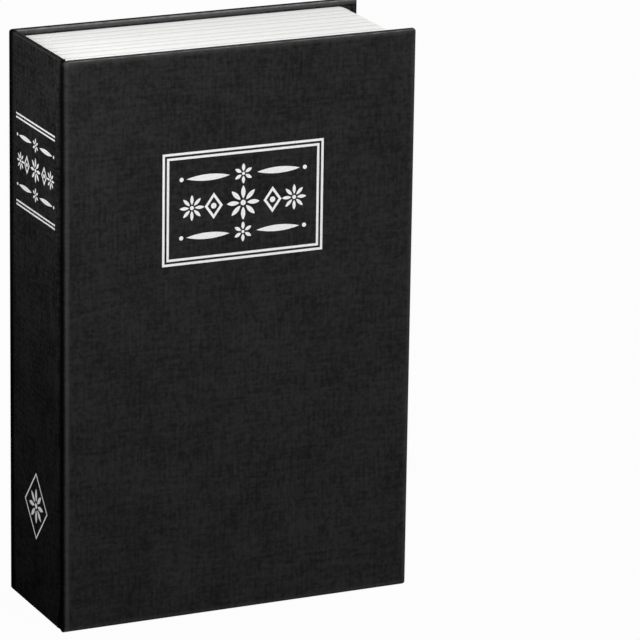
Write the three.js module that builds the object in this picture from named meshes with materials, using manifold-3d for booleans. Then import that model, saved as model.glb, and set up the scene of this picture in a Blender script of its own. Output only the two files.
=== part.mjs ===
// Book diversion safe: a hollow book of cloth-covered boards around a steel box with a locking door.
// Millimetres, +Z up. X runs from the spine to the fore-edge and Y from the front cover to the back
// cover. The book stands on the bottom edges of its boards at Z = 0, with the origin under its middle.
import * as THREE from 'three';
import { mergeVertices } from 'three/addons/utils/BufferGeometryUtils.js';
import Module from 'manifold-3d';

const wasm = await Module();
wasm.setup();

// Whole book
const WIDTH = 155;
const DEPTH = 60;
const HEIGHT = 240;
const GAP = 0.1;

// Covered boards
const COVER = 3;
const CLOTH = 0.35;
const LINING = 0.2;
const LINING_MARGIN = 3;
const TURN_IN = 11;
const EDGE_ROUND = 0.9;
const CORNER_ROUND = 2;
const JOINT_HEAD_ROUND = 3.2;
const JOINT_GROOVE = 3;
const JOINT_SAG = 1.2;
const DRILL_STOP = 0.5;

// Moulded page block
const SQUARE = 2.5;
const PAGE_WALL = 3;
const PAGE_CORNER = 7;
const PAGE_INNER_CORNER = 0.8;
const PAGE_GROOVES = 8;
const GROOVE_WIDTH = 1.1;
const GROOVE_DEPTH = 0.5;
const GROOVE_DRIFT = 0.12;
const GROOVE_DRIFT_STEP = 2.3;
const PAGE_FRONT_CLEARANCE = 0.3;

// Steel tray
const SHEET = 1;
const SHEET_BEND = 1.8;
const RIM = 8;
const RIM_RELIEF = 3;
const SCREW_INSET = 9;
const TRAY_SCREW = { head: 3.2, height: 1.9, shank: 1.5, length: 2.9 };

// Door and its hinge
const DOOR_FACE = -22.6;
const DOOR_DEPTH = 8;
const DOOR_SIDE_GAP = 0.8;
const DOOR_END_GAP = 0.7;
const DOOR_ROLL = 4;
const DOOR_BAND = 7.5;
const DOOR_STEP = 0.6;
const HINGE_INSET = 5.5;
const HINGE_BEHIND_FACE = 3.4;
const PIN_RADIUS = 1.5;
const PIN_SHOULDER = 2.6;
const PIN_TAIL = 1.9;

// Cam lock
const LOCK_FROM_FREE_EDGE = 32;
const BEZEL_RADIUS = 11.75;
const BEZEL_FACE_RADIUS = 9.6;
const BEZEL_HEIGHT = 3.6;
const BEZEL_EDGE = 0.7;
const BEZEL_BREAK = 0.2;
const BARREL_RADIUS = 9.5;
const BARREL_FLAT = 8;
const BARREL_LENGTH = 16;
const PLUG_FACE_RADIUS = 8.75;
const PLUG_FACE_THICKNESS = 1.3;
const PLUG_RADIUS = 6;
const PLUG_CLEARANCE = 0.15;
const KEYWAY_WIDTH = 2.2;
const KEYWAY_HEIGHT = 7.4;
const KEYWAY_END = 13.8;
const WARD_REACH = 0.8;
const WARD_LOW = -0.6;
const WARD_HIGH = 0.9;
const FIRST_WAFER = 0.4;
const WAFER_PITCH = 2.4;
const WAFER_THICKNESS = 0.8;
const WAFER_WIDTH = 5.4;
const WAFER_HEIGHT = 10.5;
const WAFER_WINDOW_WIDTH = 2.6;
const WAFER_SHIFT = 0.35;
const WAFER_CHANNEL_WIDTH = 6;
const WAFER_CHANNEL_HEIGHT = 15.2;
const NUT_ACROSS_FLATS = 22.4;
const NUT_THICKNESS = 3;
const TANG_SIDE = 7;
const CAM_THICKNESS = 2;
const CAM_REACH = 35;
const CAM_WIDTH = 11;
const CAM_HEAD_WIDTH = 16;
const CAM_NECK = 15;
const CAM_GAP = 0.4;
const CAM_SCREW = { head: 4, height: 2.2, shank: 2, length: 4.2 };
const CAM_WASHER = { radius: 5.6, hole: 2.2, thickness: 0.8 };
const STRIKE_HEIGHT = 60;
const STRIKE_REACH = 11;

// Keys and their ring
const BITTING = [1, 1.6, 0.6, 1.3, 0.8];
const BITTING_PITCH = 2.9;
const BITTING_FIRST = 1.4;
const BITTING_MOUTH = 2.6;
const BITTING_FLOOR = 0.8;
const HEAD_LENGTH = 23;
const HEAD_WIDTH = 22;
const HEAD_THICKNESS = 4;
const HEAD_CORNER = 4;
const HEAD_CHAMFER = 5.5;
const HEAD_CHAMFER_ROUND = 1.2;
const HEAD_BEVEL = 0.7;
const PANEL_FROM_END = 11.2;
const PANEL_MARGIN = 3.2;
const PANEL_WIDTH = 12;
const PANEL_DEPTH = 0.5;
const BLADE_WIDTH = 6.6;
const BLADE_THICKNESS = 1.8;
const BLADE_LENGTH = 24;
const BLADE_TIP_WIDTH = 1.6;
const BLADE_TAPER = 2;
const BLADE_GROOVE = { low: -1.6, high: -0.5, depth: 0.55 };
const NECK_LENGTH = 6.5;
const TANG_LENGTH = 8;
const SLOT_FROM_END = 4.8;
const SLOT_LENGTH = 13;
const SLOT_WIDTH = 4.4;
const COLLAR_WIDTH = 1.3;
const COLLAR_RISE = 0.4;
const RING_RADIUS = 11.6;
const RING_WIRE = 0.45;
const RING_TURNS = 1.94;
const RING_PITCH = 1.06;
const RING_TILT = THREE.MathUtils.degToRad(35);
const RING_IN_SLOT = 0.9;
const KEYS_Y = 8;
const KEYS_TURN = THREE.MathUtils.degToRad(4);

// Facets
const ARC_STEPS = 4;
const EDGE_STEPS = 3;
const ROUND_STEPS = 40;
const SMALL_ROUND_STEPS = 16;
const LEAST_RADIUS = 0.05;

// Places worked out from the sizes above
const SPINE_X = -WIDTH / 2;
const FORE_X = WIDTH / 2;
const FRONT_INNER_Y = -DEPTH / 2 + COVER;
const BACK_INNER_Y = DEPTH / 2 - COVER;
const SPINE_INNER_X = SPINE_X + COVER;
const LINING_STAND = LINING + GAP;
const PAGE_FORE_X = FORE_X - SQUARE;
const PAGE_FRONT_Y = FRONT_INNER_Y + LINING_STAND + PAGE_FRONT_CLEARANCE;
const PAGE_BACK_Y = BACK_INNER_Y - LINING_STAND - GAP;
const PAGE_SPINE_X = SPINE_INNER_X + LINING_STAND + GAP;
const TRAY = {
  x0: PAGE_SPINE_X,
  x1: PAGE_FORE_X - PAGE_WALL - PAGE_FRONT_CLEARANCE,
  y0: PAGE_FRONT_Y,
  y1: PAGE_BACK_Y,
  z0: SQUARE + PAGE_WALL + PAGE_FRONT_CLEARANCE,
  z1: HEIGHT - SQUARE - PAGE_WALL - PAGE_FRONT_CLEARANCE,
};
const FLOOR_Z = TRAY.z0 + SHEET;
const CEILING_Z = TRAY.z1 - SHEET;
const DOOR = {
  x0: TRAY.x0 + RIM + DOOR_SIDE_GAP,
  x1: TRAY.x1 - RIM - DOOR_SIDE_GAP,
  z0: FLOOR_Z + DOOR_END_GAP,
  z1: CEILING_Z - DOOR_END_GAP,
};
const HINGE_X = DOOR.x0 + HINGE_INSET;
const HINGE_Y = DOOR_FACE + HINGE_BEHIND_FACE;
const LOCK_X = DOOR.x1 - LOCK_FROM_FREE_EDGE;
const MIDDLE_Z = HEIGHT / 2;
const CAM_Y = BARREL_LENGTH + CAM_GAP;
const TANG_END = CAM_Y + CAM_THICKNESS - GAP;
const STRIKE = {
  y0: DOOR_FACE + DOOR_DEPTH + 3 * GAP,
  y1: DOOR_FACE + BARREL_LENGTH,
  x1: TRAY.x1 - SHEET - GAP,
};

// Finishes
function finish(color, roughness, metalness) {
  return () => new THREE.MeshStandardMaterial({ color, roughness, metalness, flatShading: true });
}
const bookCloth = finish(0x29292b, 0.85, 0);
const greyBoard = finish(0x8d8478, 0.95, 0);
const blackPaper = finish(0x1c1c1d, 0.9, 0);
const whitePlastic = finish(0xe9e9e6, 0.45, 0);
const powderCoat = finish(0x434249, 0.55, 0.3);
const blackCoat = finish(0x1f1f21, 0.55, 0.3);
const zincSteel = finish(0xb4b4b2, 0.35, 0.9);
const chromePlate = finish(0xd8d8da, 0.1, 1);
const nickelBrass = finish(0xc9c0a4, 0.25, 0.9);
const brassPlate = finish(0xb08d4a, 0.35, 0.9);
const blackPlastic = finish(0x141415, 0.5, 0);

// Solids from closed surfaces
function signedVolume(geometry) {
  const corner = [0, 1, 2].map(() => new THREE.Vector3());
  const { position } = geometry.attributes;
  let volume = 0;
  for (let i = 0; i < geometry.index.count; i += 3) {
    corner.forEach((point, k) => point.fromBufferAttribute(position, geometry.index.getX(i + k)));
    volume += corner[0].dot(corner[1].cross(corner[2])) / 6;
  }
  return volume;
}

function facingOut(geometry) {
  if (signedVolume(geometry) < 0) geometry.setIndex([...geometry.index.array].reverse());
  return geometry;
}

function solidOf(geometry) {
  const bare = geometry.clone();
  bare.deleteAttribute('normal');
  bare.deleteAttribute('uv');
  const merged = mergeVertices(bare, 1e-4);
  const index = [];
  for (let i = 0; i < merged.index.count; i += 3) {
    const [a, b, c] = [0, 1, 2].map((k) => merged.index.getX(i + k));
    if (a !== b && b !== c && c !== a) index.push(a, b, c);
  }
  const vertProperties = new Float32Array(merged.attributes.position.array);
  return new wasm.Manifold(new wasm.Mesh({ numProp: 3, vertProperties, triVerts: new Uint32Array(index) }));
}

function geometryOf(solid) {
  const mesh = solid.getMesh();
  const geometry = new THREE.BufferGeometry();
  geometry.setAttribute('position', new THREE.BufferAttribute(mesh.vertProperties, 3));
  geometry.setIndex(new THREE.BufferAttribute(mesh.triVerts, 1));
  geometry.computeVertexNormals();
  return geometry;
}

function join(...geometries) {
  return geometryOf(geometries.map(solidOf).reduce((whole, next) => whole.add(next)));
}

function cut(geometry, ...tools) {
  return geometryOf(tools.map(solidOf).reduce((left, tool) => left.subtract(tool), solidOf(geometry)));
}

// Outlines, with the corners given as [x, y, radius]
function outline(corners, steps = ARC_STEPS) {
  const points = [];
  corners.forEach(([x, y, radius = 0], i) => {
    const here = new THREE.Vector2(x, y);
    if (radius === 0) {
      points.push(here);
      return;
    }
    const before = corners[(i + corners.length - 1) % corners.length];
    const after = corners[(i + 1) % corners.length];
    const toBefore = new THREE.Vector2(before[0], before[1]).sub(here).normalize();
    const toAfter = new THREE.Vector2(after[0], after[1]).sub(here).normalize();
    const half = Math.acos(toBefore.dot(toAfter)) / 2;
    const middle = toBefore.clone().add(toAfter).normalize();
    const centre = here.clone().addScaledVector(middle, radius / Math.sin(half));
    const first = here.clone().addScaledVector(toBefore, radius / Math.tan(half)).sub(centre);
    const last = here.clone().addScaledVector(toAfter, radius / Math.tan(half)).sub(centre);
    const sweep = Math.atan2(first.cross(last), first.dot(last));
    for (let k = 0; k <= steps; k++) {
      points.push(first.clone().rotateAround(new THREE.Vector2(), (sweep * k) / steps).add(centre));
    }
  });
  return points;
}

function rectangle(x0, x1, y0, y1, radii = 0) {
  const r = Array.isArray(radii) ? radii : [radii, radii, radii, radii];
  return outline([[x0, y0, r[0]], [x1, y0, r[1]], [x1, y1, r[2]], [x0, y1, r[3]]]);
}

function circle(radius, steps = SMALL_ROUND_STEPS) {
  return Array.from({ length: steps }, (_, k) => {
    const turn = (2 * Math.PI * k) / steps;
    return new THREE.Vector2(radius * Math.cos(turn), radius * Math.sin(turn));
  });
}

// Closed skin through rings of equal point counts, with both ends capped like the flat section
function loft(rings, section) {
  const count = section.length;
  const index = [];
  for (let ring = 0; ring + 1 < rings.length; ring++) {
    for (let i = 0; i < count; i++) {
      const a = ring * count + i;
      const b = ring * count + ((i + 1) % count);
      index.push(a, b, b + count, a, b + count, a + count);
    }
  }
  const turn = Math.sign(THREE.ShapeUtils.area(section));
  const end = (rings.length - 1) * count;
  for (const face of THREE.ShapeUtils.triangulateShape(section, [])) {
    const same = Math.sign(THREE.ShapeUtils.area(face.map((i) => section[i]))) === turn;
    const [a, b, c] = same ? face : [...face].reverse();
    index.push(a, c, b, end + a, end + b, end + c);
  }
  const places = rings.flat().flatMap((p) => p.toArray());
  const geometry = new THREE.BufferGeometry();
  geometry.setAttribute('position', new THREE.Float32BufferAttribute(places, 3));
  geometry.setIndex(index);
  return facingOut(geometry);
}

// An outline in X and Y raised from z0 to z1
function prism(points, z0, z1) {
  const ring = (z) => points.map((p) => new THREE.Vector3(p.x, p.y, z));
  return loft([ring(z0), ring(z1)], points);
}

// An outline in X and Z given thickness from y0 to y1
function plate(points, y0, y1) {
  return prism(points, -y1, -y0).rotateX(Math.PI / 2);
}

function block(x0, x1, y0, y1, z0, z1) {
  const box = new THREE.BoxGeometry(x1 - x0, y1 - y0, z1 - z0);
  return box.translate((x0 + x1) / 2, (y0 + y1) / 2, (z0 + z1) / 2);
}

// A closed profile of [radius, height] turned about the Y axis
function turned(profile, steps = ROUND_STEPS) {
  const points = [...profile, profile[0]].map(([r, y]) => new THREE.Vector2(r, y));
  return facingOut(new THREE.LatheGeometry(points, steps));
}

function part(name, geometry, material) {
  const mesh = new THREE.Mesh(geometry, material());
  mesh.name = name;
  return mesh;
}

// Case: each board stands with its inner face at y = 0 and its outer face at y = COVER
function slab(width, radii, inset) {
  const edge = Math.max(EDGE_ROUND - inset, LEAST_RADIUS);
  const ringAt = (angle, z) => {
    const side = inset + edge * (1 - Math.sin(angle));
    const rounds = radii.map((r) => Math.max(r - side, LEAST_RADIUS));
    const section = rectangle(side, width - side, side, COVER - side, rounds);
    return { section, points: section.map((p) => new THREE.Vector3(p.x, p.y, z)) };
  };
  const rings = [];
  for (let k = 0; k <= EDGE_STEPS; k++) {
    const angle = (k / EDGE_STEPS) * (Math.PI / 2);
    rings.push(ringAt(angle, inset + edge * (1 - Math.cos(angle))));
  }
  for (let k = EDGE_STEPS; k >= 0; k--) {
    const angle = (k / EDGE_STEPS) * (Math.PI / 2);
    rings.push(ringAt(angle, HEIGHT - inset - edge * (1 - Math.cos(angle))));
  }
  return loft(rings.map((ring) => ring.points), rings[0].section);
}

// The front board, softly rounded at the head beside the joint, where the cloth is drawn into it
function frontSlab(inset) {
  const radius = JOINT_HEAD_ROUND - inset;
  const x = WIDTH - inset - radius;
  const z = HEIGHT - inset - radius;
  const corner = block(x, WIDTH + 1, -1, COVER + 1, z, HEIGHT + 1);
  const round = plate(circle(radius, ROUND_STEPS), -2, COVER + 2).translate(x, 0, z);
  const radii = [EDGE_ROUND, EDGE_ROUND, CORNER_ROUND, EDGE_ROUND];
  return cut(slab(WIDTH, radii, inset), cut(corner, round));
}

function clothGeometry(width, slabAt) {
  const window = block(TURN_IN, width - TURN_IN, -1, 2 * CLOTH, TURN_IN, HEIGHT - TURN_IN);
  return cut(slabAt(0), slabAt(CLOTH), window);
}

// A board, its cloth and its lining, where slabAt(inset) gives the covered board shrunk by the inset
function coveredBoard(label, clothName, width, slabAt, holes = []) {
  const group = new THREE.Group();
  const inset = CLOTH + GAP;
  const sheet = block(
    LINING_MARGIN, width - LINING_MARGIN, -LINING_STAND, -GAP, LINING_MARGIN, HEIGHT - LINING_MARGIN,
  );
  const board = slabAt(inset);
  const drill = () => plate(circle(TRAY_SCREW.shank + GAP), -1, COVER - inset - DRILL_STOP);
  const drills = holes.map(([x, z]) => drill().translate(x, 0, z));
  group.add(part(clothName, clothGeometry(width, slabAt), bookCloth));
  group.add(part(`${label}_board`, cut(board, ...drills), greyBoard));
  group.add(part(`${label}_lining`, cut(sheet, ...drills), blackPaper));
  return group;
}

function screwPlaces() {
  const xs = [TRAY.x0 + SHEET + SCREW_INSET, TRAY.x1 - SHEET - SCREW_INSET];
  const zs = [FLOOR_Z + SCREW_INSET, CEILING_Z - SCREW_INSET];
  return xs.flatMap((x) => zs.map((z) => [x, z]));
}

function caseParts() {
  const front = coveredBoard('front', 'front_cover_cloth', WIDTH, frontSlab);
  front.position.set(FORE_X, FRONT_INNER_Y, 0);
  front.rotation.z = Math.PI;
  const holes = screwPlaces().map(([x, z]) => [x - SPINE_X, z]);
  const backRadii = [LEAST_RADIUS, EDGE_ROUND, EDGE_ROUND, CORNER_ROUND];
  const backSlab = (inset) => slab(WIDTH, backRadii, inset);
  const back = coveredBoard('back', 'back_cover_cloth', WIDTH, backSlab, holes);
  back.position.set(SPINE_X, BACK_INNER_Y, 0);
  const spineWidth = BACK_INNER_Y - GAP - (FRONT_INNER_Y + JOINT_GROOVE);
  const spineRadii = [EDGE_ROUND, LEAST_RADIUS, LEAST_RADIUS, EDGE_ROUND];
  const spineSlab = (inset) => slab(spineWidth, spineRadii, inset);
  const spine = coveredBoard('spine', 'spine_cloth', spineWidth, spineSlab);
  spine.position.set(SPINE_INNER_X, FRONT_INNER_Y + JOINT_GROOVE, 0);
  spine.rotation.z = Math.PI / 2;
  return [front, back, spine, jointCloth()];
}

// The cloth hinge: a shallow trough pressed into the groove between the front board and the spine
function jointCloth() {
  const y0 = FRONT_INNER_Y + GAP;
  const y1 = FRONT_INNER_Y + JOINT_GROOVE - GAP;
  const steps = 2 * ARC_STEPS;
  const across = Array.from({ length: steps + 1 }, (_, k) => k / steps);
  const curve = (offset) => across.map((t) => new THREE.Vector2(
    SPINE_X + CLOTH + offset + JOINT_SAG * Math.sin(Math.PI * t), y0 + (y1 - y0) * t,
  ));
  const section = [...curve(0), ...curve(CLOTH).reverse()];
  return part('front_joint_cloth', prism(section, EDGE_ROUND, HEIGHT - EDGE_ROUND), bookCloth);
}

// Page block: one moulded wall carried round the head, the fore-edge and the foot of the book
function pageSection() {
  const points = [new THREE.Vector2(PAGE_WALL, PAGE_FRONT_Y), new THREE.Vector2(0, PAGE_FRONT_Y)];
  const pitch = (PAGE_BACK_Y - PAGE_FRONT_Y) / (PAGE_GROOVES + 1);
  for (let i = 1; i <= PAGE_GROOVES; i++) {
    const drift = GROOVE_DRIFT * Math.sin(GROOVE_DRIFT_STEP * i);
    const y = PAGE_FRONT_Y + pitch * (i + drift);
    points.push(new THREE.Vector2(0, y - GROOVE_WIDTH / 2));
    points.push(new THREE.Vector2(GROOVE_DEPTH, y));
    points.push(new THREE.Vector2(0, y + GROOVE_WIDTH / 2));
  }
  points.push(new THREE.Vector2(0, PAGE_BACK_Y), new THREE.Vector2(PAGE_WALL, PAGE_BACK_Y));
  return points;
}

function pageBlock() {
  const head = HEIGHT - SQUARE;
  const station = (x, z, angle) => ({ outer: [x, z], inner: [x, z - PAGE_WALL * Math.sin(angle)], angle });
  const corner = (z, side, angle) => {
    const on = (wall, radius) => [
      PAGE_FORE_X - wall - radius + radius * Math.cos(angle),
      z - side * (wall + radius) + radius * Math.sin(angle),
    ];
    return { outer: on(0, PAGE_CORNER), inner: on(PAGE_WALL, PAGE_INNER_CORNER), angle };
  };
  const steps = 2 * ARC_STEPS;
  const quarter = Array.from({ length: steps + 1 }, (_, k) => (k / steps) * (Math.PI / 2));
  const stations = [
    station(PAGE_SPINE_X, head, Math.PI / 2),
    ...quarter.map((turn) => corner(head, 1, Math.PI / 2 - turn)),
    ...quarter.map((turn) => corner(SQUARE, -1, -turn)),
    station(PAGE_SPINE_X, SQUARE, -Math.PI / 2),
  ];
  const section = pageSection();
  const rings = stations.map(({ outer, inner, angle }) => section.map((p) => {
    const [x, z] = p.x === PAGE_WALL
      ? inner : [outer[0] - p.x * Math.cos(angle), outer[1] - p.x * Math.sin(angle)];
    return new THREE.Vector3(x, p.y, z);
  }));
  return part('page_block', loft(rings, section), whitePlastic);
}

// Steel tray: a folded box with turned-in rims down both long sides of its mouth
function steelTray() {
  const { x0, x1, y0, y1, z0, z1 } = TRAY;
  const shell = prism(rectangle(x0, x1, y0, y1, SHEET_BEND), z0, z1);
  const inside = rectangle(x0 + SHEET, x1 - SHEET, y0 + SHEET, y1 - SHEET, SHEET_BEND - SHEET);
  const hollow = prism(inside, FLOOR_Z, CEILING_Z);
  const mouth = block(x0 + RIM, x1 - RIM, y0 - 1, y0 + 2 * SHEET, FLOOR_Z, CEILING_Z);
  const reliefs = [FLOOR_Z, CEILING_Z - RIM_RELIEF].map(
    (z) => block(x0 + SHEET, x1 - SHEET, y0 - 1, y0 + 2 * SHEET, z, z + RIM_RELIEF),
  );
  const screwHoles = screwPlaces().map(
    ([x, z]) => plate(circle(TRAY_SCREW.shank + 3 * GAP), y1 - 2 * SHEET, y1 + 1).translate(x, 0, z),
  );
  const pinHole = prism(circle(PIN_RADIUS + GAP / 2), z0 - 1, z1 + 1).translate(HINGE_X, HINGE_Y, 0);
  return part('steel_tray', cut(shell, hollow, mouth, ...reliefs, ...screwHoles, pinHole), blackCoat);
}

// Channel inside the free-side wall: its front web stops the door, its rear web takes the cam
function strikeChannel() {
  const { x1, y0, y1 } = STRIKE;
  const x0 = x1 - STRIKE_REACH;
  const section = outline([
    [x0, y0, 0], [x1, y0, SHEET_BEND], [x1, y1, SHEET_BEND], [x0, y1, 0],
    [x0, y1 - SHEET, 0], [x1 - SHEET, y1 - SHEET, SHEET_BEND - SHEET],
    [x1 - SHEET, y0 + SHEET, SHEET_BEND - SHEET], [x0, y0 + SHEET, 0],
  ]);
  const half = STRIKE_HEIGHT / 2;
  return part('strike_channel', prism(section, MIDDLE_Z - half, MIDDLE_Z + half), blackCoat);
}

function crossRecess(reach, width, y0, y1) {
  return [
    block(-reach, reach, y0, y1, -width / 2, width / 2),
    block(-width / 2, width / 2, y0, y1, -reach, reach),
  ];
}

// A pan-head screw along Y, with its head towards -Y and the underside of the head at y = 0
function panScrew(name, { head, height, shank, length }) {
  const profile = [
    [0, -height], [head * 0.6, -height], [head * 0.9, -height * 0.7], [head, -height * 0.3],
    [head, 0], [shank, 0], [shank, length], [0, length],
  ];
  const recess = crossRecess(head * 0.55, head * 0.28, -height - 1, -height * 0.45);
  return part(name, cut(turned(profile, SMALL_ROUND_STEPS), ...recess), zincSteel);
}

function trayScrews() {
  return screwPlaces().map(([x, z], i) => {
    const screw = panScrew(`tray_screw_${i + 1}`, TRAY_SCREW);
    screw.position.set(x, TRAY.y1 - SHEET - GAP, z);
    return screw;
  });
}

// Shouldered pivot pins, riveted into the end walls, that the door's flanges turn on
function hingePin(name, wallZ, doorZ) {
  const up = Math.sign(wallZ - doorZ);
  const profile = [
    [0, doorZ - up * PIN_TAIL], [PIN_RADIUS, doorZ - up * PIN_TAIL],
    [PIN_RADIUS, doorZ + up * GAP], [PIN_SHOULDER, doorZ + up * GAP],
    [PIN_SHOULDER, wallZ - up * GAP], [PIN_RADIUS, wallZ - up * GAP],
    [PIN_RADIUS, wallZ + up * SHEET], [0, wallZ + up * SHEET],
  ];
  const pin = part(name, join(turned(profile, SMALL_ROUND_STEPS).rotateX(Math.PI / 2)), zincSteel);
  pin.position.set(HINGE_X, HINGE_Y, 0);
  return pin;
}

// Door: a pressed pan with rolled long edges and a raised middle, in the frame of its hinge
function doorSection(inset) {
  const x0 = DOOR.x0 - HINGE_X + inset;
  const x1 = DOOR.x1 - HINGE_X - inset;
  const face = DOOR_FACE - HINGE_Y + inset;
  const rear = DOOR_FACE - HINGE_Y + DOOR_DEPTH + (inset > 0 ? 1 : 0);
  const band = DOOR_BAND - inset;
  const roll = DOOR_ROLL - inset;
  return outline([
    [x0, rear, 0], [x0, face + DOOR_STEP, roll], [x0 + band, face + DOOR_STEP, 0],
    [x0 + band + 2 * DOOR_STEP, face, 0], [x1 - band - 2 * DOOR_STEP, face, 0],
    [x1 - band, face + DOOR_STEP, 0], [x1, face + DOOR_STEP, roll], [x1, rear, 0],
  ], 6);
}

function doorPanel() {
  const pan = prism(doorSection(0), DOOR.z0, DOOR.z1);
  const hollow = prism(doorSection(SHEET), DOOR.z0 + SHEET, DOOR.z1 - SHEET);
  const pinHole = prism(circle(PIN_RADIUS + GAP), DOOR.z0 - 1, DOOR.z1 + 1);
  const lockHole = plate(circle(BARREL_RADIUS + 2 * GAP, ROUND_STEPS), -2, 3);
  const flats = [-1, 1].map((side) => {
    const inner = side * (BARREL_FLAT + 2 * GAP);
    const outer = side * (BARREL_RADIUS + 2);
    return block(Math.min(inner, outer), Math.max(inner, outer), -3, 4, -20, 20);
  });
  const doubleD = cut(lockHole, ...flats).translate(LOCK_X - HINGE_X, DOOR_FACE - HINGE_Y, MIDDLE_Z);
  return part('door_panel', cut(pan, hollow, pinHole, doubleD), powderCoat);
}

// Cam lock, in a frame whose origin is on the door's face and whose +Y runs into the box
function lockHousing() {
  const bore = PLUG_RADIUS + PLUG_CLEARANCE;
  const seat = PLUG_FACE_RADIUS + PLUG_CLEARANCE;
  const seatY = -BEZEL_HEIGHT + PLUG_FACE_THICKNESS + 2 * GAP;
  const body = turned([
    [seat, -BEZEL_HEIGHT], [BEZEL_FACE_RADIUS - BEZEL_BREAK, -BEZEL_HEIGHT],
    [BEZEL_FACE_RADIUS, -BEZEL_HEIGHT + BEZEL_BREAK], [BEZEL_RADIUS, -BEZEL_EDGE],
    [BEZEL_RADIUS, -GAP], [BARREL_RADIUS, -GAP], [BARREL_RADIUS, BARREL_LENGTH],
    [bore, BARREL_LENGTH], [bore, seatY], [seat, seatY],
  ]);
  const flats = [
    block(BARREL_FLAT, 20, -GAP, BARREL_LENGTH + 1, -20, 20),
    block(-20, -BARREL_FLAT, -GAP, BARREL_LENGTH + 1, -20, 20),
  ];
  const half = { x: WAFER_CHANNEL_WIDTH / 2, z: WAFER_CHANNEL_HEIGHT / 2 };
  const channel = block(-half.x, half.x, seatY + SHEET / 2, BARREL_LENGTH + 1, -half.z, half.z);
  return part('lock_housing', cut(body, ...flats, channel), chromePlate);
}

function lockNut() {
  const reach = NUT_ACROSS_FLATS / 2 / Math.cos(Math.PI / 6);
  const hexagon = Array.from({ length: 6 }, (_, k) => {
    const turn = ((k + 0.5) * Math.PI) / 3;
    return [reach * Math.cos(turn), reach * Math.sin(turn), SHEET];
  });
  const y0 = SHEET + GAP;
  const ring = plate(outline(hexagon), y0, y0 + NUT_THICKNESS);
  return part('lock_nut', cut(ring, plate(circle(BARREL_RADIUS + GAP, ROUND_STEPS), 0, 10)), zincSteel);
}

function lockPlug() {
  const face = -BEZEL_HEIGHT + GAP;
  const shoulder = face + PLUG_FACE_THICKNESS;
  const body = turned([
    [0, face], [PLUG_FACE_RADIUS, face], [PLUG_FACE_RADIUS, shoulder], [PLUG_RADIUS, shoulder],
    [PLUG_RADIUS, BARREL_LENGTH], [0, BARREL_LENGTH],
  ]);
  const half = TANG_SIDE / 2;
  const tang = block(-half, half, BARREL_LENGTH - 1, TANG_END, -half, half);
  const keyway = plate(
    rectangle(-KEYWAY_WIDTH / 2, KEYWAY_WIDTH / 2, -KEYWAY_HEIGHT / 2, KEYWAY_HEIGHT / 2),
    face - 1, KEYWAY_END,
  );
  const ward = block(-KEYWAY_WIDTH / 2 - WARD_REACH, 0, face - 1, KEYWAY_END, WARD_LOW, WARD_HIGH);
  const slots = BITTING.map((_, i) => {
    const x = WAFER_WIDTH / 2 + GAP;
    const y = waferY(i) - GAP;
    return block(-x, x, y, y + WAFER_THICKNESS + 2 * GAP, -PLUG_RADIUS - 1, PLUG_RADIUS + 1);
  });
  const thread = plate(circle(CAM_SCREW.shank + GAP), KEYWAY_END + 4 * GAP, TANG_END + 1);
  return part('lock_plug', cut(join(body, tang), keyway, ward, ...slots, thread), chromePlate);
}

function waferY(i) {
  return FIRST_WAFER + WAFER_PITCH * i;
}

// Each wafer hangs a little higher or lower in the plug, so that its window meets its own key cut
function wafer(i) {
  const shift = WAFER_SHIFT * (BITTING[i] - BITTING[0]);
  const half = { x: WAFER_WIDTH / 2, z: WAFER_HEIGHT / 2 };
  const open = { x: WAFER_WINDOW_WIDTH / 2, z: KEYWAY_HEIGHT / 2 };
  const body = block(-half.x, half.x, 0, WAFER_THICKNESS, -half.z, half.z);
  const window = block(-open.x, open.x, -1, WAFER_THICKNESS + 1, -open.z, open.z).translate(0, 0, shift);
  const leaf = part(`wafer_${i + 1}`, cut(body, window), brassPlate);
  leaf.position.y = waferY(i);
  return leaf;
}

function lockCam() {
  const head = CAM_HEAD_WIDTH / 2;
  const side = CAM_WIDTH / 2;
  const round = CAM_WIDTH / 2 - 1;
  const blade = outline([
    [-head, head, round], [head, head, round], [head, -head, round], [side, -CAM_NECK, round],
    [side, -CAM_REACH, round], [-side, -CAM_REACH, round], [-side, -CAM_NECK, round], [-head, -head, round],
  ]);
  const half = TANG_SIDE / 2 + GAP;
  const hole = block(-half, half, CAM_Y - 1, CAM_Y + CAM_THICKNESS + 1, -half, half);
  return part('lock_cam', cut(plate(blade, CAM_Y, CAM_Y + CAM_THICKNESS), hole), zincSteel);
}

function camFasteners() {
  const { radius, hole, thickness } = CAM_WASHER;
  const y = CAM_Y + CAM_THICKNESS + GAP;
  const disc = plate(circle(radius, SMALL_ROUND_STEPS), y, y + thickness);
  const washer = cut(disc, plate(circle(hole), y - 1, y + 2));
  const screw = panScrew('cam_screw', CAM_SCREW);
  screw.rotation.z = Math.PI;
  screw.position.y = y + thickness + GAP;
  return [part('cam_washer', washer, zincSteel), screw];
}

function door() {
  const hinged = new THREE.Group();
  hinged.position.set(HINGE_X, HINGE_Y, 0);
  const lock = new THREE.Group();
  lock.position.set(LOCK_X - HINGE_X, DOOR_FACE - HINGE_Y, MIDDLE_Z);
  const wafers = BITTING.map((_, i) => wafer(i));
  lock.add(lockHousing(), lockNut(), lockPlug(), ...wafers, lockCam(), ...camFasteners());
  hinged.add(doorPanel(), lock);
  return hinged;
}

// Key, lying along +X with the middle of its ring slot at the origin and its thickness along Z
function stadium(length, width) {
  return rectangle(-width / 2, width / 2, -length / 2, length / 2, width / 2 - LEAST_RADIUS / 5);
}

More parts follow.
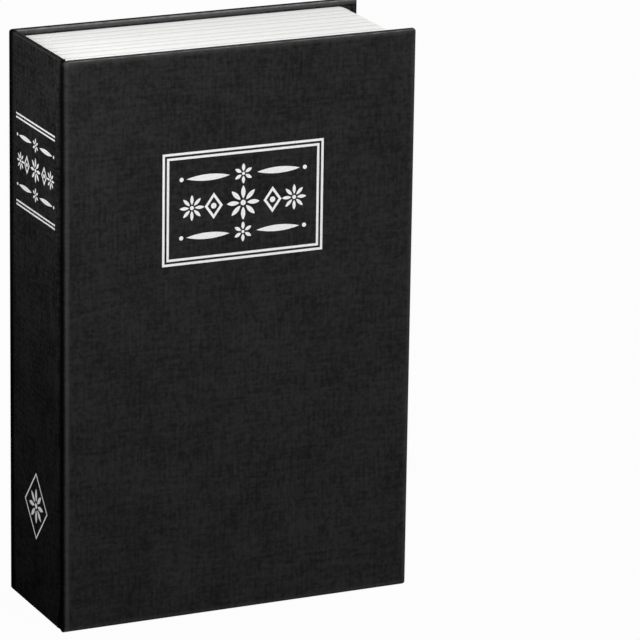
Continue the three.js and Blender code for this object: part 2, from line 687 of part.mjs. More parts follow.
// The head's outline, rounded at the end with the slot and chamfered at the end with the blade
function headSection(inset) {
  const x0 = -SLOT_FROM_END + inset;
  const x1 = HEAD_LENGTH - SLOT_FROM_END - inset;
  const half = HEAD_WIDTH / 2 - inset;
  const leg = HEAD_CHAMFER - (2 - Math.SQRT2) * inset;
  const round = HEAD_CHAMFER_ROUND - inset;
  return outline([
    [x0, -half, HEAD_CORNER - inset], [x1 - leg, -half, round], [x1, -half + leg, round],
    [x1, half - leg, round], [x1 - leg, half, round], [x0, half, HEAD_CORNER - inset],
  ]);
}

function keyHead(name) {
  const x0 = -SLOT_FROM_END;
  const x1 = x0 + HEAD_LENGTH;
  const top = HEAD_THICKNESS / 2;
  const ring = (inset, z) => headSection(inset).map((p) => new THREE.Vector3(p.x, p.y, z));
  const rings = [
    ring(HEAD_BEVEL, -top), ring(0, -top + HEAD_BEVEL), ring(0, top - HEAD_BEVEL), ring(HEAD_BEVEL, top),
  ];
  const body = loft(rings, headSection(HEAD_BEVEL));
  const around = stadium(SLOT_LENGTH + 2 * COLLAR_WIDTH, SLOT_WIDTH + 2 * COLLAR_WIDTH);
  const collar = prism(around, -top - COLLAR_RISE, top + COLLAR_RISE);
  const slot = prism(stadium(SLOT_LENGTH, SLOT_WIDTH), -top - 2, top + 2);
  const panel = rectangle(
    x0 + PANEL_FROM_END, x1 - PANEL_MARGIN, -PANEL_WIDTH / 2, PANEL_WIDTH / 2, COLLAR_RISE,
  );
  const recesses = [prism(panel, top - PANEL_DEPTH, top + 1), prism(panel, -top - 1, -top + PANEL_DEPTH)];
  const pocketHalf = BLADE_WIDTH / 2 + GAP;
  const pocketTop = BLADE_THICKNESS / 2 + GAP;
  const pocket = block(x1 - TANG_LENGTH - GAP, x1 + 1, -pocketHalf, pocketHalf, -pocketTop, pocketTop);
  return part(name, cut(join(body, collar), slot, ...recesses, pocket), blackPlastic);
}

function keyBlade(name) {
  const x0 = HEAD_LENGTH - SLOT_FROM_END;
  const half = BLADE_WIDTH / 2;
  const thick = BLADE_THICKNESS / 2;
  const tip = x0 + BLADE_LENGTH;
  const tipHalf = BLADE_TIP_WIDTH / 2;
  const cuts = BITTING.flatMap((depth, i) => {
    const x = x0 + NECK_LENGTH + BITTING_FIRST + BITTING_PITCH * i;
    const mouth = BITTING_MOUTH / 2;
    const floor = BITTING_FLOOR / 2;
    return [[x - mouth, half], [x - floor, half - depth], [x + floor, half - depth], [x + mouth, half]];
  });
  const edge = outline([
    [x0 - TANG_LENGTH, -half, 0], [tip - BLADE_TAPER, -half, 0], [tip, -tipHalf, tipHalf / 2],
    [tip, tipHalf, tipHalf / 2], [tip - BLADE_TAPER, half, 0], ...cuts.reverse(),
    [x0 - TANG_LENGTH, half, 0],
  ]);
  const { low, high, depth } = BLADE_GROOVE;
  const groove = block(x0 + 1, tip + 1, low, high, thick - depth, thick + 1);
  return part(name, cut(prism(edge, -thick, thick), groove), nickelBrass);
}

// Split ring: nearly two turns of round wire, one on the other
class RingPath extends THREE.Curve {
  getPoint(t, target = new THREE.Vector3()) {
    const turn = 2 * Math.PI * RING_TURNS * t;
    const rise = RING_PITCH * RING_TURNS * (t - 0.5);
    return target.set(RING_RADIUS * Math.cos(turn), RING_RADIUS * Math.sin(turn), rise);
  }
}

function keyRing() {
  const section = new THREE.Shape(circle(RING_WIRE, 8));
  const steps = Math.round(ROUND_STEPS * RING_TURNS);
  const along = { steps, bevelEnabled: false, extrudePath: new RingPath() };
  const wire = new THREE.ExtrudeGeometry(section, along);
  return part('key_ring', join(wire), chromePlate);
}

// The ring leans on the box floor and the two keys lie out from it, heads on the wire, tips on the floor
function keys() {
  const set = new THREE.Group();
  const stack = (RING_PITCH * RING_TURNS) / 2 + RING_WIRE;
  const ringZ = RING_RADIUS * Math.sin(RING_TILT) + stack * Math.cos(RING_TILT) + GAP;
  const ring = keyRing();
  ring.rotation.x = RING_TILT;
  ring.position.z = ringZ;
  set.add(ring);
  const reach = HEAD_LENGTH - SLOT_FROM_END + BLADE_LENGTH;
  const dip = Math.asin((ringZ - BLADE_THICKNESS / 2 - GAP) / reach);
  [0, Math.PI].forEach((turn, i) => {
    const key = new THREE.Group();
    key.add(keyHead(`key_${i + 1}_head`), keyBlade(`key_${i + 1}_blade`));
    key.rotation.set(0, dip, turn, 'ZYX');
    key.position.set((RING_RADIUS - RING_IN_SLOT) * Math.cos(turn), 0, ringZ);
    set.add(key);
  });
  set.position.set((TRAY.x0 + TRAY.x1) / 2, KEYS_Y, FLOOR_Z);
  set.rotation.z = KEYS_TURN;
  return set;
}

const safe = new THREE.Group();
safe.add(...caseParts(), pageBlock(), steelTray(), strikeChannel(), ...trayScrews());
safe.add(hingePin('upper_hinge_pin', CEILING_Z, DOOR.z1), hingePin('lower_hinge_pin', FLOOR_Z, DOOR.z0));
safe.add(door(), keys());

export default safe;
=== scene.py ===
"""Looks of the book diversion safe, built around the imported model. Metres, +Z up.

The book stands closed with its spine at -X and its front cover at -Y.
"""

import math
import random

import bpy
from mathutils import Matrix, Vector
from mathutils.geometry import delaunay_2d_cdt

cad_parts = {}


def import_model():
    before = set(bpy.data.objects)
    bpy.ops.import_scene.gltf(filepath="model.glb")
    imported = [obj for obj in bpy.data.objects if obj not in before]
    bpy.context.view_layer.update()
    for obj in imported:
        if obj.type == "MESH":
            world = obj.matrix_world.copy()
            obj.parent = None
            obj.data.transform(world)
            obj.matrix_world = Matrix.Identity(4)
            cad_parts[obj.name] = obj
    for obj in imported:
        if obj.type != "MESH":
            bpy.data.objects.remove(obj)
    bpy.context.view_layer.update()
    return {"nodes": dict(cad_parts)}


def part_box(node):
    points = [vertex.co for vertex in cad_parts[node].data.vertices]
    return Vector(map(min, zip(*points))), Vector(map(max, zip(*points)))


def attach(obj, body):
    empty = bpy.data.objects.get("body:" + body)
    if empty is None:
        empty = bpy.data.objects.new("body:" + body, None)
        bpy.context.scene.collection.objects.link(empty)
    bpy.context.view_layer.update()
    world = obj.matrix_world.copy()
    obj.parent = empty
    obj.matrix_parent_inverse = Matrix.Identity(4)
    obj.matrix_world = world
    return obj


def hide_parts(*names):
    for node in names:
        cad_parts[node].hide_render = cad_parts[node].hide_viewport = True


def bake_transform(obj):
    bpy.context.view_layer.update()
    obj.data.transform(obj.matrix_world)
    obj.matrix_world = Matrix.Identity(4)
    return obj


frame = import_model()
NODES = frame["nodes"]
MM = 0.001

# Bodies
CASE = "case"
COVER = "front_cover"

# Covered boards
FOLD = 0.9 * MM
OUTER_FOLD = 1.3 * MM
JOINT_SIDE_FOLD = 3.0 * MM
SPINE_FRONT_FOLD = 1.7 * MM
REAR_FOLD = 2.2 * MM
CORNER = 1.2 * MM
SPINE_INNER_CORNER = 0.3 * MM
LEAST_RADIUS = 0.05 * MM
CLOTH = 0.35 * MM
TURN_IN = 11 * MM
FLAP_RINGS = (1.2 * MM, 5 * MM)
FACE_RINGS = (40 * MM, 12 * MM, 5 * MM)
MITRE = 0.14 * MM
BOARD = 3 * MM
JOINT_DEPTH = 2.6 * MM
JOINT_FOOT_DEPTH = 0.3 * MM
JOINT_FOOT_RISE = 20 * MM
JOINT_HEAD_ROUND = 3.2 * MM
JOINT_FOOT_ROUND = 0.4 * MM
JOINT_SUNK = 0.15 * MM
JOINT_STEPS = 14
JOINT_LEVELS = 12
JOINT_FOOT_LEVELS = 8
JOINT_ENDS = ((0.5, 0.15 * MM), (0.2, 0.3 * MM), (0, 0.6 * MM))
FOLD_STEPS = 5
MITRE_STEPS = 6
COVER_ALONG = 16
CASE_ALONG = 6
CASE_LEVELS = 12

# Book cloth: its weave, and the spans over which its tints come in: real wear, and painted highlight,
# sheen and shade. A span is two distances from an edge, and then the shares of the tint at them where those
# aren't 0 and 1.
WEAVE_PITCH = 0.5 * MM
WEAVE_JITTER = 0.5 * MM
SLUB_SCALE = 900
MOTTLE = (1.1, 1.9)
RUB_AND_SHEEN = (0.75 * MM, 0.3 * MM)
SHEEN_HALO = (2.8 * MM, 0.6 * MM)
SHOULDER_START = (0.6 * MM, 1.7 * MM)
SHOULDER_END = (3.4 * MM, 1.8 * MM)
SHOULDER_FACE = (1.8 * MM, 1.0 * MM)
SHOULDER_DOWN = (0, -90 * MM, 0.3, 0.95)
LEDGE_IN = (1.7 * MM, 0.9 * MM)
LEDGE_FROM_SPINE = (1.5 * MM, 4 * MM)
LEDGE_FACE = (-2.3 * MM, -1.6 * MM, 0, 0.7)
LEDGE_EDGE = (-1.1 * MM, -0.3 * MM)
CREASE_SHADE = (1.3 * MM, 0.2 * MM, 0, 0.9)
REAR_IN = (-7.6 * MM, -3.8 * MM, 0, 0.93)
REAR_SIDE = (2.5 * MM, 1 * MM)
HEAD_FOLD_IN = (-2.9 * MM, -2.3 * MM, 0, 0.92)
HEAD_FOLD_DOWN = (-1.6 * MM, -0.9 * MM)
PAINTED_SHADE_TONE = 6
SHOULDER_HIGHLIGHT_TONE = 66
LEDGE_SHEEN_TONE = 74
RUBBED_AND_SHEEN_TONE = 140
BESIDE_JOINT = 3 * MM

# Page block
PAGE_WALL = 3 * MM
PAGE_CORNER = 7 * MM
PAGE_INNER_CORNER = 0.8 * MM
PAGE_GROOVES = 8
GROOVE_DRIFT = 0.12
GROOVE_DRIFT_STEP = 2.3
GROOVE_DEPTH = 0.2 * MM
GROOVE_HALF_WIDTH = 0.5 * MM
# Painted shade along the page block's grooves
GROOVE_SHADE = (0.9 * MM, 0.35 * MM, 0, 0.45)
SHEAF_CROWN = 0.08 * MM
SHEAF_SWELL = 0.05 * MM
SHEAF_STEPS = 16
SHEAF_SEED = 7
PAGE_EDGE = 0.5 * MM
PAGE_STRAIGHT_STEPS = 5
PAGE_CORNER_STEPS = 14
LEAF_PITCH = 0.75 * MM
LEAF_WAVER = 1.6 * MM

# Keys and their split ring, as they lie on the floor of the box
TRAY_SHEET = 1 * MM
HEAD_LENGTH = 23 * MM
HEAD_WIDTH = 22 * MM
HEAD_THICKNESS = 4 * MM
HEAD_CORNER = 4 * MM
HEAD_CHAMFER = 5.5 * MM
HEAD_CHAMFER_ROUND = 1.2 * MM
HEAD_BEVEL = 0.7 * MM
SLOT_FROM_END = 4.8 * MM
SLOT_LENGTH = 13 * MM
SLOT_WIDTH = 4.4 * MM
COLLAR_WIDTH = 1.3 * MM
COLLAR_RISE = 0.4 * MM
PANEL_LENGTH = 8.6 * MM
PANEL_BREADTH = 12 * MM
PANEL_FROM_SLOT = 6.4 * MM
PANEL_MIDDLE = PANEL_FROM_SLOT + PANEL_LENGTH / 2
PANEL_DEPTH = 0.5 * MM
PANEL_SIDE = 0.25 * MM
PAD_RISE = 0.3 * MM
PAD_EDGE = (1.0 * MM, 1.3 * MM)
RIB_PITCH = 0.9 * MM
RIB_HEIGHT = 0.22 * MM
RIBS_FROM_PANEL = (1.2 * MM, 1.5 * MM)
RIBS_FROM_RIM = (1.3 * MM, 1.6 * MM)
RIBS_FROM_SLOT = (4.6 * MM, 5.0 * MM)
BEAD_RADIUS = 0.3 * MM
BEAD_HEIGHT = 0.25 * MM
BEAD_PITCH = 1.0 * MM
PANEL_BEADS = 0.75 * MM
EDGE_BEADS = 0.8 * MM
FACE_CELL = 0.12 * MM
FACE_MARGIN = 0.08 * MM
KEY_REACH = 42.2 * MM
BLADE_HALF = 0.9 * MM
RING_RADIUS = 11.6 * MM
RING_WIRE = 0.45 * MM
RING_TURNS = 1.94
RING_PITCH = 1.06 * MM
RING_TILT = math.radians(35)
RING_IN_SLOT = 0.9 * MM
KEYS_Y = 8 * MM
KEYS_TURN = math.radians(4)
GAP = 0.1 * MM

# Foil stamping on the front cover and the spine
FOIL_RISE = 0.04 * MM
FOIL_ROOT = 0.05 * MM
RULE = 1.0 * MM
RULE_PITCH = 1.9 * MM
STAMP_WIDTH = 71 * MM
STAMP_TOP = 198 * MM
STAMP_FOOT = 151 * MM
STAMP_MIDDLE_X = 1 * MM
SPINE_RULE_WIDTH = 42 * MM
SPINE_RULE = 0.72 * MM
SPINE_RULE_PITCH = 1.6 * MM
SPINE_MIDDLE_Y = -0.5 * MM
SPINE_RULES_TOP = 207.4 * MM
SPINE_RULES_FOOT = 169.2 * MM
SPINE_SCALE = 0.72
SPINE_ROWS = 10.4 * MM
FRONT_ROWS = 12.2 * MM
EMBLEM_Z = 45.5 * MM
EMBLEM_HEIGHT = 29 * MM
EMBLEM_WIDTH = 0.86 * EMBLEM_HEIGHT
EMBLEM_ROSETTE = 0.26 * EMBLEM_HEIGHT
PETAL_GAP = 0.24
PETAL_WIDTH = 2.1
ROSETTE_EYE = 0.16
FLOWER = 4.2 * MM
SWELL_START = 6 * MM
SWELL = (19 * MM, 2.7 * MM)
DOT_AT = 27.2 * MM
DOT = 0.9 * MM
ROSETTE = 7.2 * MM
SIDE_ROSETTE_AT = 22.6 * MM
SIDE_ROSETTE = 5.4 * MM
LOZENGE_AT = 13 * MM
LOZENGE = (8 * MM, 11 * MM, 1.3 * MM)
LOZENGE_DOT = 1.2 * MM

# Finish of the nodes that keep their CAD shape
WELD = 0.001 * MM
FLAT_ANGLE = math.radians(0.5)
NODE_BEVEL = 0.12 * MM
BEVEL_ANGLE = math.radians(40)
SMOOTH_ANGLE = math.radians(35)

# Stage
FLOOR = 6.0
FLOOR_GREY = 0.25
FLOOR_WHITE = 0.97
AMBIENT = 0.13

# Camera, fitted to the photograph's large view
CAMERA_AZIMUTH = math.radians(-24.94)
CAMERA_ELEVATION = math.radians(16.95)
CAMERA_ROLL = math.radians(0.86)
CAMERA_AIM = Vector((0.0417, -0.0178, 0.1167))
CAMERA_DISTANCE = 2.095
CAMERA_LENS = 285.3
SENSOR_WIDTH = 36
CAMERA_CLIP = (0.05, 20)


def page_grooves():
    """Where the grooves between the sheaves of pages lie, along Y."""
    low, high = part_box("page_block")
    pitch = (high.y - low.y) / (PAGE_GROOVES + 1)
    drifts = [i + GROOVE_DRIFT * math.sin(GROOVE_DRIFT_STEP * i) for i in range(1, PAGE_GROOVES + 1)]
    return [low.y + pitch * drift for drift in drifts]


# Colour and node helpers
def linear(level):
    """An 8-bit screen level as a linear value."""
    share = level / 255
    return share / 12.92 if share <= 0.04045 else ((share + 0.055) / 1.055) ** 2.4


def tone(red, green=None, blue=None):
    levels = (red, red if green is None else green, red if blue is None else blue)
    return (*map(linear, levels), 1.0)


class Surface:
    """One material's node tree round its Principled shader."""

    def __init__(self, name, color, roughness, metallic=0.0, specular=0.5):
        self.material = bpy.data.materials.new(name)
        self.material.use_nodes = True
        self.tree = self.material.node_tree
        self.shader = self.tree.nodes["Principled BSDF"]
        self.set("Base Color", color)
        self.set("Roughness", roughness)
        self.set("Metallic", metallic)
        self.set("Specular IOR Level", specular)
        self.place = self.add("ShaderNodeTexCoord").outputs["Object"]

    def set(self, socket, value):
        self.shader.inputs[socket].default_value = value

    def add(self, kind, inputs=None, **settings):
        made = self.tree.nodes.new(kind)
        for key, value in settings.items():
            setattr(made, key, value)
        for key, value in (inputs or {}).items():
            self.feed(made.inputs[key], value)
        return made

    def feed(self, socket, value):
        if isinstance(value, bpy.types.NodeSocket):
            self.tree.links.new(value, socket)
        else:
            socket.default_value = value

    def math(self, operation, *values):
        return self.add("ShaderNodeMath", dict(enumerate(values)), operation=operation).outputs[0]

    def product(self, first, *others):
        for other in others:
            first = self.math("MULTIPLY", first, other)
        return first

    def weighted(self, *terms):
        """The sum of (value, weight) terms."""
        total = 0.0
        for value, weight in terms:
            total = self.math("MULTIPLY_ADD", value, weight, total)
        return total

    def parts(self):
        """X, Y and Z of the place."""
        return self.add("ShaderNodeSeparateXYZ", {"Vector": self.place}).outputs[:]

    def ridges(self, value, pitch):
        """From 0 up to 1 and back, once in each pitch."""
        return self.math("ABSOLUTE", self.math("SINE", self.math("MULTIPLY", value, math.pi / pitch)))

    def ramp(self, value, edge, span):
        """A smooth step over a span of distances from an edge."""
        start, end, *shares = span
        return self.spread(value, edge + start, edge + end, *shares)

    def spread(self, value, low, high, to_low=0.0, to_high=1.0):
        inputs = {"Value": value, "From Min": low, "From Max": high, "To Min": to_low, "To Max": to_high}
        return self.add("ShaderNodeMapRange", inputs, interpolation_type="SMOOTHSTEP").outputs[0]

    def noise(self, scale, stretch=(1, 1, 1), detail=2.0, roughness=0.5):
        spot = self.add("ShaderNodeMapping", {"Vector": self.place, "Scale": stretch})
        inputs = {"Vector": spot.outputs[0], "Scale": scale, "Detail": detail, "Roughness": roughness}
        return self.add("ShaderNodeTexNoise", inputs).outputs["Fac"]

    def blend(self, share, a, b):
        made = self.add("ShaderNodeMix", data_type="RGBA")
        self.feed(made.inputs["Factor"], share)
        self.feed(made.inputs[6], a)
        self.feed(made.inputs[7], b)
        return made.outputs[2]

    def link(self, socket, value):
        self.tree.links.new(value, self.shader.inputs[socket])

    def bump(self, height, depth, strength, under=None):
        inputs = {"Height": height, "Distance": depth, "Strength": strength}
        if under is not None:
            inputs["Normal"] = under
        normal = self.add("ShaderNodeBump", inputs).outputs[0]
        self.link("Normal", normal)
        return normal


# Materials
def book_cloth(
    name, low=None, high=None, shoulder=None, ledge=None, crease=None, wear_and_sheen=1.0, sheen_halo=0.0, *, dark, pale,
):
    """Charcoal book cloth: a fine weave and slubs both ways.

    The edges of the box from low to high are rubbed paler by wear with a painted highlight, and a soft halo
    of painted sheen lies beside them. The shoulder of the front board, beside the plane X = shoulder, and
    the head of the back board, whose inner face is at Y = ledge, carry painted highlight and painted sheen.
    Both sides of the joint's crease, the spine's rear corner and the rear fold at the back board's head are
    darker with painted shade.
    """
    cloth = Surface(name, tone((dark + pale) / 2), 0.75, specular=0.0)
    x, y, z = cloth.parts()
    jitter = cloth.product(cloth.noise(420), WEAVE_JITTER)
    across = cloth.math("ADD", cloth.math("ADD", x, y), jitter)
    along = cloth.math("ADD", z, jitter)
    weave = cloth.product(cloth.ridges(across, WEAVE_PITCH), cloth.ridges(along, WEAVE_PITCH))
    slub_up = cloth.noise(SLUB_SCALE, (1, 1, 0.1), 3)
    slub_over = cloth.noise(SLUB_SCALE, (0.1, 0.1, 1), 3)
    fleck = cloth.noise(620, detail=3, roughness=0.6)
    patch = cloth.noise(60, detail=3)
    mottle = cloth.weighted((slub_up, 0.75), (slub_over, 0.6), (fleck, 1.15), (patch, 0.5))
    color = cloth.blend(cloth.spread(mottle, *MOTTLE), tone(dark), tone(pale))
    # Painted highlight on the rounded shoulder of the front board beside the joint, weaker toward the head.
    if shoulder is not None:
        shoulder_highlight = cloth.product(
            cloth.ramp(x, shoulder, SHOULDER_START), cloth.ramp(x, shoulder, SHOULDER_END),
            cloth.ramp(y, low[1], SHOULDER_FACE), cloth.ramp(z, high[2], SHOULDER_DOWN),
            cloth.spread(mottle, *MOTTLE, 0.7, 1.1),
        )
        color = cloth.blend(shoulder_highlight, color, tone(SHOULDER_HIGHLIGHT_TONE))
    # Painted sheen on the upper part of the back board's inner face at the head, and a painted highlight
    # along its top edge.
    if ledge is not None:
        near = cloth.product(cloth.ramp(y, ledge, LEDGE_IN), cloth.ramp(x, low[0], LEDGE_FROM_SPINE))
        ledge_sheen = cloth.product(near, cloth.ramp(z, high[2], LEDGE_FACE))
        color = cloth.blend(ledge_sheen, color, tone(LEDGE_SHEEN_TONE))
        edge = cloth.product(near, cloth.ramp(z, high[2], LEDGE_EDGE), unevenness(cloth))
        color = cloth.blend(edge, color, tone(RUBBED_AND_SHEEN_TONE))
    # Rubbed edges: real wear with a painted highlight, and a painted sheen just beside them.
    if low is not None:
        color = cloth.blend(edge_wear_and_sheen(cloth, (x, y, z), low, high, wear_and_sheen, sheen_halo), color, tone(RUBBED_AND_SHEEN_TONE))
    # Painted shade on both sides of the joint's crease.
    if crease is not None:
        axis, place = crease
        color = cloth.blend(cloth.ramp((x, y, z)[axis], place, CREASE_SHADE), color, tone(PAINTED_SHADE_TONE))
    # Painted shade on the spine's rear corner and on the rear fold at the back board's head.
    if ledge is not None:
        rear = cloth.product(cloth.ramp(y, high[1], REAR_IN), cloth.ramp(x, low[0], REAR_SIDE))
        fold = cloth.product(cloth.ramp(y, high[1], HEAD_FOLD_IN), cloth.ramp(z, high[2], HEAD_FOLD_DOWN))
        color = cloth.blend(cloth.math("MAXIMUM", rear, fold), color, tone(PAINTED_SHADE_TONE))
    cloth.link("Base Color", color)
    cloth.bump(cloth.weighted((weave, 0.6), (slub_up, 1), (slub_over, 1)), 0.06 * MM, 0.7)
    return cloth.material


def unevenness(surface):
    return surface.spread(surface.noise(260, detail=4, roughness=0.7), 0.3, 0.75, 0.25, 0.8)


def edge_wear_and_sheen(surface, parts, low, high, wear_and_sheen, sheen_halo):
    """Up to the wear share along the box's edges, broken by noise, as real wear with a painted highlight,
    and up to the halo share just beside them as a painted sheen.
    """
    gaps = []
    for part, least, most in zip(parts, low, high):
        off = surface.math("ABSOLUTE", surface.math("SUBTRACT", part, (least + most) / 2))
        gaps.append(surface.math("SUBTRACT", (most - least) / 2, off))
    a, b, c = gaps
    nearest = surface.math("MINIMUM", a, b)
    second = surface.math("MAXIMUM", nearest, surface.math("MINIMUM", surface.math("MAXIMUM", a, b), c))
    rub = surface.product(surface.spread(second, *RUB_AND_SHEEN, 0, wear_and_sheen), unevenness(surface))
    if not sheen_halo:
        return rub
    return surface.math("MAXIMUM", rub, surface.spread(second, *SHEEN_HALO, 0, sheen_halo))


def grey_board():
    board = Surface("grey_board", tone(150, 143, 132), 0.92, specular=0.2)
    fibre = board.noise(1400, (1, 1, 0.35), 5, 0.7)
    share = board.spread(board.weighted((fibre, 1), (board.noise(520, detail=3), 0.5)), 0.5, 1.0)
    board.link("Base Color", board.blend(share, tone(118, 111, 100), tone(163, 155, 142)))
    board.bump(fibre, 0.08 * MM, 0.6)
    return board.material


def endpaper():
    paper = Surface("endpaper", tone(27), 0.85, specular=0.25)
    fibre = paper.noise(1700, (1, 1, 0.5), 5, 0.65)
    share = paper.spread(paper.weighted((fibre, 1), (paper.noise(60, detail=4), 0.6)), 0.55, 1.1)
    paper.link("Base Color", paper.blend(share, tone(22), tone(33)))
    paper.bump(fibre, 0.03 * MM, 0.6)
    return paper.material


def page_plastic():
    """White moulded plastic with fine page lines, parallel to the covers, and painted shade along its
    grooves.
    """
    plastic = Surface("page_plastic", tone(236, 236, 234), 0.42)
    across = plastic.parts()[1]
    waver = plastic.product(plastic.noise(45, (0.4, 1, 0.4), 3), LEAF_WAVER)
    lines = plastic.math("POWER", plastic.ridges(plastic.math("ADD", across, waver), LEAF_PITCH), 0.5)
    grain = plastic.noise(2400, detail=3)
    shade = plastic.weighted((lines, 0.5), (plastic.noise(30, (0.3, 6, 0.3), 2), 0.5))
    color = plastic.blend(plastic.spread(shade, 0.15, 0.8), tone(247, 247, 245), tone(253, 253, 251))
    # Painted shade along each groove.
    for groove in page_grooves():
        off = plastic.math("ABSOLUTE", plastic.math("SUBTRACT", across, groove))
        color = plastic.blend(plastic.ramp(off, 0, GROOVE_SHADE), color, tone(150, 150, 148))
    plastic.link("Base Color", color)
    fine = plastic.bump(lines, 0.05 * MM, 0.5)
    plastic.bump(grain, 0.01 * MM, 0.5, fine)
    return plastic.material


def powder_coat(name, dark, light):
    coat = Surface(name, dark, 0.48, specular=0.4)
    pebble = coat.noise(1500)
    speck = coat.noise(3600, detail=1)
    coat.link("Base Color", coat.blend(coat.spread(speck, 0.35, 0.7), dark, light))
    coat.link("Roughness", coat.spread(coat.noise(70, detail=4), 0.3, 0.7, 0.42, 0.55))
    coat.bump(pebble, 0.05 * MM, 0.6)
    return coat.material


def plated(name, color, other, roughness, streak=(1, 1, 1), depth=0.01 * MM):
    """Plated or bare metal with a faint drift of tint, worn roughness and fine marks along one way."""
    metal = Surface(name, color, roughness, metallic=1.0)
    drift = metal.noise(120, detail=4)
    marks = metal.noise(1600, streak, 4, 0.6)
    metal.link("Base Color", metal.blend(metal.spread(drift, 0.3, 0.7), color, other))
    metal.link("Roughness", metal.spread(marks, 0.3, 0.75, roughness * 0.75, roughness * 1.5))
    metal.bump(marks, depth, 0.5)
    return metal.material


def key_plastic():
    plastic = Surface("key_plastic", tone(24), 0.5, specular=0.4)
    grain = plastic.noise(2600)
    share = plastic.spread(plastic.noise(300, detail=4), 0.3, 0.7)
    plastic.link("Base Color", plastic.blend(share, tone(21), tone(29)))
    plastic.bump(grain, 0.03 * MM, 0.6)
    return plastic.material


def white_foil():
    foil = Surface("white_foil", tone(240), 0.35, specular=1.0)
    foil.set("IOR", 1.8)
    press = foil.noise(900, detail=3)
    foil.link("Base Color", foil.blend(foil.spread(press, 0.3, 0.6), tone(238), tone(252)))
    foil.bump(press, 0.02 * MM, 0.5)
    return foil.material


FRONT_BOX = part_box("front_cover_cloth")
BACK_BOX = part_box("back_cover_cloth")
SPINE_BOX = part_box("spine_cloth")
MATERIALS = {
    "case_cloth": book_cloth(
        "case_cloth", SPINE_BOX[0] - Vector((0, BESIDE_JOINT, 0)), BACK_BOX[1],
        ledge=BACK_BOX[0].y, crease=(1, SPINE_BOX[0].y - 0.8 * MM), wear_and_sheen=0.12, dark=23, pale=52,
    ),
    "cover_cloth": book_cloth(
        "cover_cloth", FRONT_BOX[0] - Vector((BESIDE_JOINT, 0, 0)), FRONT_BOX[1],
        shoulder=FRONT_BOX[0].x, crease=(0, FRONT_BOX[0].x), sheen_halo=0.08, dark=31, pale=50,
    ),
    # Painted shade: the joint's cloth is a darker copy of the book cloth, for the shade in the crease.
    "joint_cloth": book_cloth("joint_cloth", dark=13, pale=24),
    "grey_board": grey_board(),
    "endpaper": endpaper(),
    "page_plastic": page_plastic(),
    "powder_coat": powder_coat("powder_coat", tone(62, 62, 66), tone(74, 74, 79)),
    "black_coat": powder_coat("black_coat", tone(30, 30, 32), tone(38, 38, 40)),
    "zinc_steel": plated(
        "zinc_steel", tone(196, 196, 192), tone(182, 184, 186), 0.34, (1, 1, 0.2), 0.005 * MM,
    ),
    "chrome": plated("chrome", tone(222, 222, 224), tone(212, 213, 217), 0.09, depth=0.002 * MM),
    "satin_chrome": plated("satin_chrome", tone(216, 216, 217), tone(204, 205, 208), 0.5),
    "key_metal": plated("key_metal", tone(214, 207, 184), tone(198, 190, 165), 0.2, (0.15, 1, 1)),
    "lock_brass": plated("lock_brass", tone(196, 160, 92), tone(172, 137, 76), 0.3),
    "key_plastic": key_plastic(),
    "white_foil": white_foil(),
}


# Mesh helpers
def to_scene(name, data):
    made = bpy.data.objects.new(name, data)
    bpy.context.scene.collection.objects.link(made)
    return made


def add_piece(name, points, faces, material, smooth=True):
    mesh = bpy.data.meshes.new(name)
    mesh.from_pydata([tuple(p) for p in points], [], faces)
    mesh.update()
    mesh.polygons.foreach_set("use_smooth", [smooth] * len(mesh.polygons))
    mesh.materials.append(MATERIALS[material])
    return to_scene(name, mesh)


def loft(rings):
    """Points and faces of a closed skin through closed rings of equal counts, capped at both ends."""
    count = len(rings[0])
    points = [p for ring in rings for p in ring]
    faces = []
    for r in range(len(rings) - 1):
        for i in range(count):
            a, b = r * count + i, r * count + (i + 1) % count
            faces.append((a, b, b + count, a + count))
    faces.append(tuple(reversed(range(count))))
    faces.append(tuple(range(len(points) - count, len(points))))
    return points, faces


def rounded(corners, steps=FOLD_STEPS, along=1):
    """A closed outline through (x, y, radius) corners, with `along` extra points on each straight."""
    arcs = []
    for i, (x, y, radius) in enumerate(corners):
        here = Vector((x, y))
        before = (Vector(corners[i - 1][:2]) - here).normalized()
        after = (Vector(corners[(i + 1) % len(corners)][:2]) - here).normalized()
        half = before.angle(after) / 2
        centre = here + (before + after).normalized() * (radius / math.sin(half))
        first = here + before * (radius / math.tan(half)) - centre
        last = here + after * (radius / math.tan(half)) - centre
        sweep = math.atan2(first.x * last.y - first.y * last.x, first.dot(last))
        arcs.append([centre + Matrix.Rotation(sweep * k / steps, 2) @ first for k in range(steps + 1)])
    points = []
    for i, arc in enumerate(arcs):
        points += arc
        follow = arcs[(i + 1) % len(arcs)][0]
        points += [arc[-1].lerp(follow, (k + 1) / (along + 1)) for k in range(along)]
    return points


def fold_stations(radius):
    """(inset, drop) pairs round a quarter fold, from the side of the board to its face."""
    turns = [math.pi / 2 * k / FOLD_STEPS for k in range(FOLD_STEPS + 1)]
    return [(radius * (1 - math.cos(t)), radius * (1 - math.sin(t))) for t in turns]


